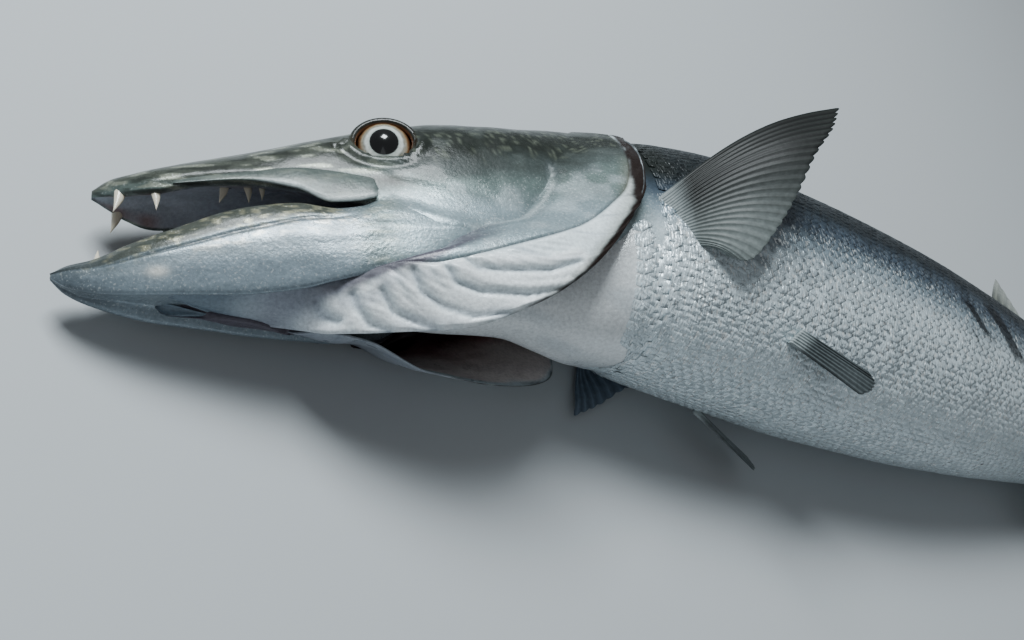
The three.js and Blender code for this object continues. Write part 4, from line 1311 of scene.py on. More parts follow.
    @classmethod
    def flap_relief(cls, points: Array, t: Array, w: Array) -> Array:
        """Folds and ribs of a flap, as height above its plain form."""
        phase, across = cls.fold_phase(points, t, w)
        rise = phase - np.floor(phase)
        fade = window(across, 0.0, 0.15, 0.8, 1.0)
        fade = fade * ramp(0.26, 0.4, t) * np.clip((1 - t) * 2.4, 0, 1)
        height = 1.3 * fade * (rise ** 1.4 * ramp(1.0, 0.88, rise) - 0.15)
        fine = np.sin(2 * np.pi * (phase * 5 + 1.6 * NOISE(points, (20, 12, 12))))
        height += 0.2 * fade * fine
        near = crease_distance(points)
        inner = window(across, 0.0, 0.1, 0.93, 1.0)
        height += (1.1 * bump(near, 3.6, 2.6) - 1.1 * bump(near, 0.0, 1.15)) * inner
        height += cheek_rim_height(points)
        edge = Flap.crease(t)
        hard = ramp(0.0, -0.06, w - edge)
        height -= 0.8 * bump(w, edge, 0.012) * ramp(0.3, 0.36, t)
        bones = np.sin(t * np.pi * 15 + w * 2)
        height += 0.15 * bones * hard * ramp(0.0, 0.1, w)
        height += 0.45 * bump(w, 0.975, 0.03)
        return height + 0.3 * (NOISE(points, (14, 8, 8)) - 0.5) * ramp(0, 0.15, w)

    def orbit(self, side: Side) -> Patch:
        """The fleshy lids round an eye, thick as a brow above."""
        around = np.linspace(0, 2 * np.pi, 73)[:, None]
        tube = np.linspace(0, 2 * np.pi, 21)[None, :-1]
        centre, axis, along, up = self.eye_frame(np.array([float(side.value)]))
        brow = 0.5 + 0.5 * np.sin(around)
        out = 1.9 + mix(1.5, 1.9, brow) * np.cos(tube)
        lift = mix(4.2, 4.9, brow) + mix(1.6, 2.2, brow) * np.sin(tube)
        x = np.cos(around) * (self.lid[0] + out)
        y = np.sin(around) * (self.lid[1] + out)
        points = centre + along * x[..., None] + up * y[..., None] + axis * lift[..., None]
        edge = ramp(-0.55, -0.85, np.cos(tube)) * ramp(-0.6, 0.2, np.sin(tube))
        tint = MARKS.head(points) * 0.8
        tint = MARKS.blend(tint, MARKS.brow, 0.95 * brow * np.ones_like(tube))
        tint = MARKS.blend(tint, MARKS.lid_edge, edge * np.ones_like(around) * 0.7)
        return Patch(points, tint, 0.15 * (1 - brow) * np.ones_like(tube))

    def lip(self, side: Side) -> Patch:
        """The bony upper lip plate along the side of the mouth."""
        s = np.linspace(34, 116.5, 80)
        f = self.lip_plate.rows(s)
        turn = np.linspace(0, 2 * np.pi, 25)[None, :-1]
        round_off = np.sqrt(np.clip(1 - ramp(114.6, 116.6, s) ** 2, 0.02, 1))[:, None]
        rise = np.cos(turn)
        v = mix(f["bottom"], f["top"], (np.sign(rise) * np.abs(rise) ** 0.8 * round_off + 1) / 2)
        lean = np.where(rise < 0, 0.8, -1.0) * np.abs(rise)
        wide = np.sign(np.sin(turn)) * np.abs(np.sin(turn)) ** 0.8 * f["thick"] * 0.5
        points = section_grid(s, v, side.value * (f["u"] + lean + wide * round_off))
        tint = mix(MARKS.head(points), linear(MARKS.lip_plate), 0.65)
        low = ramp(3.4, 0.6, v - f["bottom"]) * ramp(60, 84, s)[:, None]
        tint = MARKS.blend(tint, MARKS.lip_plate_edge, 0.8 * low)
        return Patch(points, tint, np.full(v.shape, 0.15))

    def build(self) -> Piece:
        """Make every patch and join them into the skin.

        Returns:
            The skin, dressed and riding on the body.
        """
        meshes = [self.body().build("skin_body"), self.jaw().build("skin_jaw"),
                  self.throat().build("skin_throat")]
        for side in Side:
            meshes.append(self.flap(side).build("skin_flap"))
            meshes.append(self.orbit(side).build("skin_orbit"))
            meshes.append(self.lip(side).build("skin_lip"))
        piece = join_meshes("skin", meshes)
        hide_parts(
            "head", "upper_jaw", "lower_jaw", "throat", "shoulder", "torso_front",
            "torso_middle", "torso_rear", "tail_base", "maxilla_left", "maxilla_right",
            "gill_cover_left", "gill_cover_right", "gill_membrane_left", "gill_membrane_right")
        return settle(piece, WetSkin())


def settle(piece: Piece, finish: "Finish") -> Piece:
    """Dress a piece, let it ride on the body and report it.

    Args:
        piece: the finished shape.
        finish: what its surface is.

    Returns:
        The same piece.
    """
    piece.data.materials.append(finish.material())
    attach(piece, "root")
    LOG.info("%s: %d faces", piece.name, len(piece.data.polygons))
    return piece


# Finishes.
# Sockets of a Mix node that mixes colours: first colour, second colour and result.
MIX_FIRST, MIX_SECOND, MIX_RESULT = 6, 7, 2


def add_node(tree: Tree, kind: str, values: dict[str | int, object] | None = None) -> Node:
    """Add one node with its settings and links.

    Args:
        tree: the material's node tree.
        kind: the node's type, without what all the types' names start with.
        values: by input name or number, a value, an output socket, or a node whose first
            output is meant; and by name, properties of the node itself, which come first.

    Returns:
        The new node.
    """
    node = tree.nodes.new(f"ShaderNode{kind}")
    for key, value in (values or {}).items():
        if isinstance(value, Node):
            value = value.outputs[0]
        if isinstance(value, bpy.types.NodeSocket):
            tree.links.new(value, node.inputs[key])
        elif isinstance(key, str) and key not in node.inputs:
            setattr(node, key, value)
        else:
            node.inputs[key].default_value = value
    return node


class Finish:
    """A finish of the model, as one node material.

    Its title is the material's name. The tint of each place is kept in the mesh, because the
    markings follow the place on the fish, and a fine grain breaks it up.
    """

    title = "plain"

    def shader(self, tree: Tree) -> Node:
        """Build the surface's nodes."""
        raise NotImplementedError

    def material(self) -> Material:
        """Build the node material."""
        material = bpy.data.materials.new(self.title)
        material.use_nodes = True
        tree = material.node_tree
        tree.nodes.clear()
        add_node(tree, "OutputMaterial", {"Surface": self.shader(tree)})
        return material

    @staticmethod
    def grained_tint(tree: Tree, grain: Node, low: float, high: float) -> Node:
        """The mesh's tint, as bright as low to high where the grain is weakest to strongest."""
        tint = add_node(tree, "Attribute", {"attribute_name": "tint"})
        shade = add_node(tree, "MapRange", {
            "Value": grain, "From Min": 0.3, "From Max": 0.7, "To Min": low, "To Max": high})
        return add_node(tree, "VectorMath", {"operation": "SCALE", 0: tint, "Scale": shade})


@dataclass(frozen=True)
class WetSkin(Finish):
    """Fish skin fresh from the water: clear slime over silver platelets and dark pigment.

    The slime gives the eye small sharp glints and the platelets a soft broad sheen, which
    fades where pigment covers them.
    """

    title: str = "wet_fish_skin"
    roughness: float = 0.34
    ior: float = 1.38
    # How much of the silver mirrors, and how bright its single platelets spark.
    mirror: float = 0.34
    spark: float = 0.26
    spark_colour: str = "#f2f6f5"
    # Grain of about 1 mm, as fine as the picture shows, and blotches of about 10 mm.
    grain: float = 620.0
    blotch: float = 95.0

    def shader(self, tree: Tree) -> Node:
        """Build the surface's nodes."""
        place = add_node(tree, "Attribute", {"attribute_name": "fish"})
        silver = add_node(tree, "Attribute", {"attribute_name": "silver"}).outputs["Fac"]
        grain = add_node(tree, "TexNoise", {
            "Vector": place, "Scale": self.grain, "Detail": 3.0, "Roughness": 0.6})
        blotch = add_node(tree, "TexNoise", {"Vector": place, "Scale": self.blotch, "Detail": 4.0})
        metal = add_node(tree, "Math", {"operation": "MULTIPLY", 0: silver, 1: self.mirror})
        platelet = add_node(tree, "TexNoise", {"Vector": place, "Scale": 1000.0, "Detail": 1.0})
        gleam = add_node(tree, "MapRange", {
            "Value": platelet, "From Min": 0.60, "From Max": 0.72, "To Max": self.spark})
        spark = add_node(tree, "Math", {"operation": "MULTIPLY", 0: gleam, 1: silver})
        colour = add_node(tree, "Mix", {"data_type": "RGBA",
            "Factor": spark, MIX_FIRST: self.grained_tint(tree, grain, 0.8, 1.14),
            MIX_SECOND: (*linear(self.spark_colour), 1)})
        rough = add_node(tree, "MapRange", {
            "Value": blotch, "From Min": 0.3, "From Max": 0.7,
            "To Min": self.roughness - 0.1, "To Max": self.roughness + 0.1})
        height = add_node(tree, "Math", {"operation": "ADD", 0: grain, 1: blotch})
        relief = add_node(tree, "Bump", {"Height": height, "Strength": 0.35, "Distance": 0.0006})
        return add_node(tree, "BsdfPrincipled", {
            "Base Color": colour.outputs[MIX_RESULT], "Metallic": metal, "Roughness": rough,
            "Normal": relief, "IOR": self.ior, "Specular IOR Level": 0.4,
            "Coat Weight": 0.16, "Coat Roughness": 0.12})


@dataclass(frozen=True)
class ScaleShine(Finish):
    """Fish scale: clear horny plate over silver, each tilted a little its own way.

    The plates catch the light one by one, so the eye sees bright flecks that stand across
    the rows, on a sheen that differs from scale to scale.
    """

    title: str = "silver_fish_scale"
    roughness: float = 0.32
    mirror: float = 0.5
    spark_colour: str = "#f6fbfb"
    # Silver platelets of about 2 mm, drawn out across the rows, and a grain of about 1 mm.
    platelet: float = 420.0
    stretch: Place = (2.1, 0.75, 0.75)
    grain: float = 900.0

    def shader(self, tree: Tree) -> Node:
        """Build the surface's nodes."""
        tint = add_node(tree, "Attribute", {"attribute_name": "tint"})
        glint = add_node(tree, "Attribute", {"attribute_name": "glint"}).outputs["Fac"]
        silver = add_node(tree, "Attribute", {"attribute_name": "silver"}).outputs["Fac"]
        place = add_node(tree, "Attribute", {"attribute_name": "fish"})
        grain = add_node(tree, "TexNoise", {"Vector": place, "Scale": self.grain, "Detail": 2.0})
        across = add_node(tree, "VectorMath", {"operation": "MULTIPLY", 0: place, 1: self.stretch})
        platelet = add_node(tree, "TexNoise", {
            "Vector": across, "Scale": self.platelet, "Detail": 1.0})
        gleam = add_node(tree, "MapRange", {
            "Value": platelet, "From Min": 0.585, "From Max": 0.65})
        spark = add_node(tree, "Math", {"operation": "MULTIPLY", 0: gleam, 1: silver})
        shade = add_node(tree, "MapRange", {"Value": glint, "To Min": 0.80, "To Max": 1.18})
        shaded = add_node(tree, "VectorMath", {"operation": "SCALE", 0: tint, "Scale": shade})
        colour = add_node(tree, "Mix", {"data_type": "RGBA",
            "Factor": spark, MIX_FIRST: shaded, MIX_SECOND: (*linear(self.spark_colour), 1)})
        metal = add_node(tree, "Math", {"operation": "MULTIPLY", 0: silver, 1: self.mirror})
        dull = add_node(tree, "MapRange", {
            "Value": glint, "To Min": self.roughness + 0.14, "To Max": self.roughness})
        rough = add_node(tree, "Math", {"operation": "MULTIPLY_ADD", 0: spark, 1: -0.16, 2: dull})
        relief = add_node(tree, "Bump", {"Height": platelet, "Strength": 0.9, "Distance": 0.0011})
        fine = add_node(tree, "Bump", {
            "Height": grain, "Strength": 0.3, "Distance": 0.0003, "Normal": relief})
        return add_node(tree, "BsdfPrincipled", {
            "Base Color": colour.outputs[MIX_RESULT], "Metallic": metal, "Roughness": rough,
            "Normal": fine, "Specular IOR Level": 0.35, "Coat Weight": metal,
            "Coat Roughness": 0.12})


@dataclass(frozen=True)
class FinWeb(Finish):
    """Fin web: thin dusky skin between horny rays, wet but without silver.

    It gives the eye a dull satin surface, on which only the ridges of the rays catch light.
    """

    title: str = "dusky_fin_web"
    # Mottles of about 2 mm.
    grain: float = 420.0

    def shader(self, tree: Tree) -> Node:
        """Build the surface's nodes."""
        place = add_node(tree, "Attribute", {"attribute_name": "fish"})
        grain = add_node(tree, "TexNoise", {"Vector": place, "Scale": self.grain, "Detail": 3.0})
        relief = add_node(tree, "Bump", {"Height": grain, "Strength": 0.25, "Distance": 0.0004})
        return add_node(tree, "BsdfPrincipled", {
            "Base Color": self.grained_tint(tree, grain, 0.8, 1.15), "Roughness": 0.5,
            "Specular IOR Level": 0.2, "Normal": relief, "Coat Weight": 0.06,
            "Coat Roughness": 0.2})


@dataclass(frozen=True)
class Enamel(Finish):
    """Tooth enamel: ivory, smooth, and faintly see-through.

    It gives the eye a clean small highlight over a warm white that lets light in a little.
    """

    title: str = "tooth_enamel"
    light: str = "#ddd6c6"
    dark: str = "#d9cfb8"

    def shader(self, tree: Tree) -> Node:
        """Build the surface's nodes."""
        place = add_node(tree, "TexCoord")
        grain = add_node(tree, "TexNoise", {
            "Vector": place.outputs["Object"], "Scale": 500.0, "Detail": 2.0})
        colour = add_node(tree, "Mix", {"data_type": "RGBA",
            "Factor": grain, MIX_FIRST: (*linear(self.dark), 1),
            MIX_SECOND: (*linear(self.light), 1)})
        return add_node(tree, "BsdfPrincipled", {
            "Base Color": colour.outputs[MIX_RESULT], "Roughness": 0.2, "Coat Weight": 0.4,
            "Subsurface Weight": 0.15, "Subsurface Radius": (0.002, 0.0015, 0.001)})


@dataclass(frozen=True)
class EyeGloss(Finish):
    """Fresh fish eye: coloured rings under a clear wet cornea.

    The cornea gives the eye of the onlooker one hard mirror highlight over soft colours.
    """

    title: str = "fish_eye"

    def shader(self, tree: Tree) -> Node:
        """Build the surface's nodes."""
        place = add_node(tree, "TexCoord")
        grain = add_node(tree, "TexNoise", {
            "Vector": place.outputs["Object"], "Scale": 900.0, "Detail": 2.0})
        return add_node(tree, "BsdfPrincipled", {
            "Base Color": self.grained_tint(tree, grain, 0.85, 1.1), "Roughness": 0.18,
            "Coat Weight": 1.0, "Coat Roughness": 0.02})


@dataclass(frozen=True)
class FloorPaint(Finish):
    """Matt wall paint on the studio's floor, which gives soft shadows and no highlight."""

    title: str = "pale_floor"
    colour: str = "#b9bdc0"

    def shader(self, tree: Tree) -> Node:
        """Build the surface's node."""
        return add_node(tree, "BsdfPrincipled", {
            "Base Color": (*linear(self.colour), 1), "Roughness": 0.7})


# Eyes, teeth and tongue.
@dataclass
class Eye:
    """One eye: a flattened ball with pupil, silver iris and a thin orange ring."""

    side: Side
    radius: float = 13.0
    depth: float = 9.0
    # How far the cornea bulges over the pupil, in millimetres.
    lens: float = 1.1
    # Colours outwards from the pupil's middle, by share of the radius.
    rings: tuple[tuple[float, str], ...] = (
        (0.0, "#020304"), (0.49, "#030405"), (0.51, "#bcc4be"), (0.63, "#d3d8d2"),
        (0.69, "#85867c"), (0.77, "#8d8069"), (0.83, "#74573c"), (0.88, "#4f3320"),
        (0.93, "#17100b"), (1.6, "#17100b"),
    )

    def build(self) -> Piece:
        """Make the eye, dressed and riding on the body."""
        name = f"eyeball_{self.side.name.lower()}"
        shape = bmesh.new()
        bmesh.ops.create_uvsphere(shape, u_segments=96, v_segments=110, radius=1.0)
        local = np.array([vert.co[:] for vert in shape.verts])
        mesh = finished(shape, name)
        centre, axis, first, second = Skin.eye_frame(np.array([float(self.side.value)]))
        reach = np.hypot(local[:, 0], local[:, 1])
        lens = self.lens * ramp(0.62, 0.0, reach) * (local[:, 2] > 0)
        points = (
            centre + first * local[:, :1] * self.radius + second * local[:, 1:2] * self.radius
            + axis * (local[:, 2:] * self.depth + lens[:, None]))
        mesh.vertices.foreach_set("co", LINE.pose(points).astype(np.float32).ravel())
        low = np.hypot(local[:, 0], local[:, 1] + 0.09)
        fleck = 0.06 * (NOISE(points, (1.6, 1.6, 1.6)) - 0.5) * ramp(0.55, 0.7, low)
        at = np.where(local[:, 2] > 0, low + fleck, 1.2)
        stops = np.array([stop for stop, _ in self.rings])
        colours = np.array([linear(colour) for _, colour in self.rings])
        tint = np.stack([np.interp(at, stops, colours[:, k]) for k in range(3)], -1)
        add_attribute(mesh, "tint", np.c_[tint, np.ones(len(tint))])
        close_mesh(mesh)
        piece = join_meshes(name, [mesh])
        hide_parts(f"eye_{self.side.name.lower()}")
        return settle(piece, EyeGloss())


@dataclass
class Teeth:
    """The fangs and small teeth of both jaws."""

    # Root, tip and width of each fang on the left, from the front.
    upper: tuple[tuple[Place, Place, float], ...] = (
        ((13.8, -6.2, 7.2), (11.8, -17.0, 8.0), 5.8),
        ((27.0, -6.8, 12.4), (28.2, -17.2, 12.8), 5.2),
        ((55.0, -2.5, 12.4), (53.4, -9.4, 12.2), 4.6),
        ((65, -2.0, 14.0), (65.6, -9.0, 13.8), 4.2),
        ((70.8, -2.0, 15.0), (71.0, -7.6, 14.8), 3.4),
    )
    # The upper fang that the right side lacks.
    missing_right: int = 1
    lower: tuple[Place, Place, float] = ((7.6, -39.0, 4.6), (7.2, -33.8, 4.6), 3.8)
    # Stations of the lower jaw's teeth, and count of small upper teeth on each side.
    stations: tuple[int, ...] = (22, 34, 46, 58, 70)
    small: int = 22
    # How deep a tooth is sunk in its jaw, in metres.
    sunk: float = 0.003

    def tooth(self, root: Place, tip: Place, width: float, side: Side) -> Mesh:
        """Make one slightly flattened, curved fang.

        Args:
            root: s, v and u of the root on the left side.
            tip: s, v and u of the tip.
            width: width at the root in millimetres.
            side: which side it stands on.

        Returns:
            The fang's mesh, in place.
        """
        base, end = LINE.pose(np.array([root, tip]) * (1, 1, side.value))
        axis = Vector(end - base)
        start = Vector(base) - axis.normalized() * self.sunk
        length = (Vector(end) - start).length
        shape = bmesh.new()
        bmesh.ops.create_cone(
            shape, cap_ends=True, segments=14, radius1=width / 2000, radius2=2e-5, depth=length)
        bmesh.ops.subdivide_edges(
            shape, cuts=5,
            edges=[e for e in shape.edges if abs(e.verts[0].co.z - e.verts[1].co.z) > 1e-4])
        for vert in shape.verts:
            t = vert.co.z / length + 0.5
            swell = 1 + 0.55 * math.sin(math.pi * min(1.0, t * 1.05)) * t
            vert.co.x = vert.co.x * swell + 0.05 * length * math.sin(math.pi * t)
            vert.co.y *= swell * 0.8
        turn = axis.to_track_quat("Z", "Y").to_matrix().to_4x4()
        middle = Matrix.Translation((start + Vector(end)) / 2)
        bmesh.ops.transform(shape, matrix=middle @ turn, verts=shape.verts)
        return finished(shape, "tooth")

    def build(self) -> Piece:
        """Make all the teeth as one piece."""
        teeth = []
        rng = np.random.default_rng(3)
        for side in Side:
            for number, fang in enumerate(self.upper):
                if side is Side.LEFT or number != self.missing_right:
                    teeth.append(self.tooth(*fang, side))
            for s in self.stations:
                u = float(Jaw.table["lipU"](s)) - 4
                v = float(Jaw.table["lipV"](s))
                teeth.append(self.tooth((s, v - 1, u), (s + 0.5, v + 1.6, u), 2.2, side))
            for s in np.linspace(34, 88, self.small):
                row = {k: float(c(s)) for k, c in Skull.table.curves.items()}
                v, u = row["rimV"], mix(row["rimOut"], row["rimIn"], 0.35)
                drop = rng.uniform(0.5, 1.0)
                teeth.append(self.tooth((s, v, u), (s - 0.3, v - drop, u), 0.9, side))
        for side in Side:
            teeth.append(self.tooth(*self.lower, side))
        piece = join_meshes("teeth", teeth)
        return settle(piece, Enamel())


class Tongue:
    """The narrow tongue lying on the floor of the mouth."""

    table = Table("top bottom half", [
        (52, -39.0, -42.5, 3), (60, -37.0, -43.0, 6.5), (90, -33.5, -39.5, 9),
        (120, -30.0, -37.0, 11), (136, -28.5, -35.5, 12),
    ])
    colour = "#b48f8a"

    def build(self) -> Piece:
        """Make the tongue, dressed and riding on the body."""
        s = np.linspace(52, 136, 48)
        f = self.table.rows(s)
        turn = np.linspace(0, 2 * np.pi, 33)[None, :-1]
        v = mix(f["bottom"], f["top"], (np.cos(turn) + 1) / 2)
        u = np.sin(turn) * f["half"] * ramp(50, 57, s)[:, None]
        points = section_grid(s, v, u)
        tint = np.broadcast_to(linear(self.colour), points.shape)
        tint = mix(tint, tint * 0.7, NOISE(points, (6, 3, 3))[..., None])
        piece = join_meshes("tongue_pad", [Patch(points, tint, 0 * v).build("tongue_pad")])
        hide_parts("tongue")
        return settle(piece, WetSkin())


# Fins.
def straight(a: Array, r: Array) -> Array:
    """No bow at all."""
    return np.zeros(np.broadcast(a, r).shape + (3,))


@dataclass
class Fin:
    """A fin whose rays fan out from the root line to the outer edge."""

    node: str
    root: Rows
    edge: Rows
    rays: int
    thick: float
    # How far each place moves, by share across the rays and along them.
    bow: Callable[[Array, Array], Array] = straight
    ray_height: float = 0.55
    dark: str = "#474b44"
    pale: str = "#8f9288"
    # Colour towards the last ray where it differs, and how pale the tips are.
    last: str = ""
    tips: float = 0.0
    # Share of the rays' length that is sunk in the body.
    sink: float = 0.05
    tip_colour = "#b9beb9"
    root_colour = "#a9b3b4"
    tip_thick = 0.6
    columns_per_ray = 10

    def build(self) -> Piece:
        """Make the fin, dressed and riding on the body."""
        a = np.linspace(0, 1, self.rays * self.columns_per_ray + 1)
        r = steps((-self.sink, 0.96, 34), (0.97, 1.0, 5))
        grid_a, grid_r = np.meshgrid(a, r, indexing="ij")
        start, end = Path(self.root)(a)[:, None, :], Path(self.edge)(a)[:, None, :]
        phase = np.abs(np.sin(grid_a * self.rays * np.pi))
        fray = 1 - 0.02 * (1 - phase) * ramp(0.8, 1.0, grid_r)
        middle = mix(start, end, (grid_r * fray)[..., None])
        middle = middle + self.bow(grid_a, grid_r)
        normal = unit(np.cross(np.gradient(middle, axis=0), np.gradient(middle, axis=1)))
        web = mix(self.thick, self.tip_thick, np.clip(grid_r, 0, 1) ** 0.8)
        branch = np.abs(np.sin(grid_a * self.rays * np.pi * 3)) ** 1.5
        ray = phase ** 2.2 * mix(1, 0.5 + 0.5 * branch, ramp(0.35, 0.8, grid_r))
        height = web / 2 * 0.75 + self.ray_height * ray * (1 - 0.55 * np.clip(grid_r, 0, 1))
        closing = np.sqrt(np.clip(np.sin(np.clip(grid_a, 0, 1) * np.pi) * 6, 0, 1))
        height = height * np.maximum(closing, 0.12)
        height = height * np.sqrt(np.clip((1.0 - grid_r) / 0.03 + 0.03, 0, 1))
        offset = normal * height[..., None]
        points = np.concatenate([middle + offset, (middle - offset)[:, ::-1]], 1)
        ridge, reach, across = (
            np.concatenate([grid, grid[:, ::-1]], 1) for grid in (ray, grid_r, grid_a))
        wave = NOISE(points, (22, 22, 22))
        tint = MARKS.paint(
            self.dark,
            (self.last or self.dark, ramp(0.25, 1.0, across)),
            (self.pale, ridge * 0.5 + 0.3 * wave - 0.1),
            (self.tip_colour, self.tips * ramp(0.62, 0.95, reach)),
            (self.root_colour, 0.6 * ramp(0.16, 0.0, reach)))
        name = f"{self.node}_web"
        piece = join_meshes(name, [Patch(points, tint, 0 * ridge).build(name)])
        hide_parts(self.node)
        return settle(piece, FinWeb())


def sag(height: float) -> float:
    """How far a fin this high droops towards the floor, in millimetres."""
    return -0.0011 * height * height


def lean(along: float, up: float, out: float) -> Callable[[Array, Array], Array]:
    """A bow of the front rays.

    Args:
        along: how far their middles move tailward, in millimetres.
        up: how far they move towards the back.
        out: how far all the rays' middles move to the left.

    Returns:
        The bow, for Fin.
    """
    def bow(a: Array, r: Array) -> Array:
        """The move of each place, by share across the rays and along them."""
        way = np.stack([along * (1 - a), up * (1 - a), out + 0 * a], -1)
        return way * np.sin(np.pi * np.clip(r, 0, 1))[..., None]

    return bow


def fork(a: Array, r: Array) -> Array:
    """The outward curve of the tail fin's two lobes."""
    push = 22 * (0.5 - a) * np.abs(1 - 2 * a) * np.sin(np.pi * np.clip(r, 0, 1))
    return np.stack([0 * a, push, 0 * a], -1)


def low_on_floor(a: Array, r: Array) -> Array:
    """The right breast fin's way down to the floor."""
    fall = -4.5 * np.sin(np.pi * np.clip(r * 1.2, 0, 1))
    return np.stack([0 * a, 0 * a, fall], -1)


def all_fins() -> list[Fin]:
    """The eight fins of the fish.

    Returns:
        One design for each fin node.
    """
    return [
        Fin("caudal_fin", [(893, 31, 0), (897, 12, 0), (897, -12, 0), (893, -31, 0)],
            [(1056, 112, 0), (1030, 80, 0), (985, 38, 0), (960, 4, 0), (985, -34, 0),
             (1028, -78, 0), (1050, -108, 0)],
            17, 5.5, fork, dark="#2b3032", pale="#5e6462", tips=0.35, sink=0.02),
        Fin("second_dorsal_fin", [(655, 53, 0), (695, 48, 0), (738, 42, 0)],
            [(722, 141, sag(90)), (728, 110, sag(62)), (742, 84, sag(40)), (768, 72, sag(30))],
            10, 4.4, lean(-7, 0, 0), dark="#2f3436", tips=0.5),
        Fin("anal_fin", [(664, -54, 0), (702, -49, 0), (742, -42, 0)],
            [(722, -133, sag(80)), (730, -106, sag(57)), (746, -82, sag(38)),
             (770, -71, sag(29))],
            10, 4.4, lean(-7, 0, 0), dark="#3a3f40", tips=0.5),
        Fin("first_dorsal_fin", [(388, 69, 0), (430, 68, 0), (472, 66, 0)],
            [(404, 77, 1), (462, 78, 1.5), (524, 70.5, 1.5)], 5, 4.0, dark="#394345",
            pale="#8f9a9a", sink=0.2),
        Fin("pectoral_fin_left", [(255, 7, 46.5), (264, -5, 47.5), (273, -18, 46.5)],
            [(338, 55, 103), (329, 38, 102), (318, 20, 95), (310, 0, 85), (301, -17, 75),
             (290, -31, 62), (283, -26, 55)],
            24, 3.4, lean(0, 7, 3), ray_height=0.24, dark="#030404", pale="#262b28",
            last="#7d8584"),
        Fin("pectoral_fin_right", [(273, -18, -46.5), (264, -8, -47.5), (257, 2, -46.5)],
            [(256, -69, -52), (276, -60, -53), (301, -46, -54), (324, -38, -54.5),
             (338, -34, -55)],
            12, 3.0, low_on_floor, dark="#4b5663", pale="#8090a0"),
        Fin("pelvic_fin_left", [(334, -59, 40), (338, -55, 42.5), (342, -51, 44.5)],
            [(380, -78, 42), (388, -75, 45), (390, -71, 47), (384, -67, 49)],
            7, 3.2, dark="#33393b", pale="#6d7577", sink=0.08),
        Fin("pelvic_fin_right", [(334, -67, -31), (338, -64, -35), (342, -61, -38)],
            [(380, -92, -36), (388, -86, -41), (389, -79, -45), (384, -73, -48)],
            7, 3.2, dark="#555b5c", pale="#a7adae", sink=0.08),
    ]


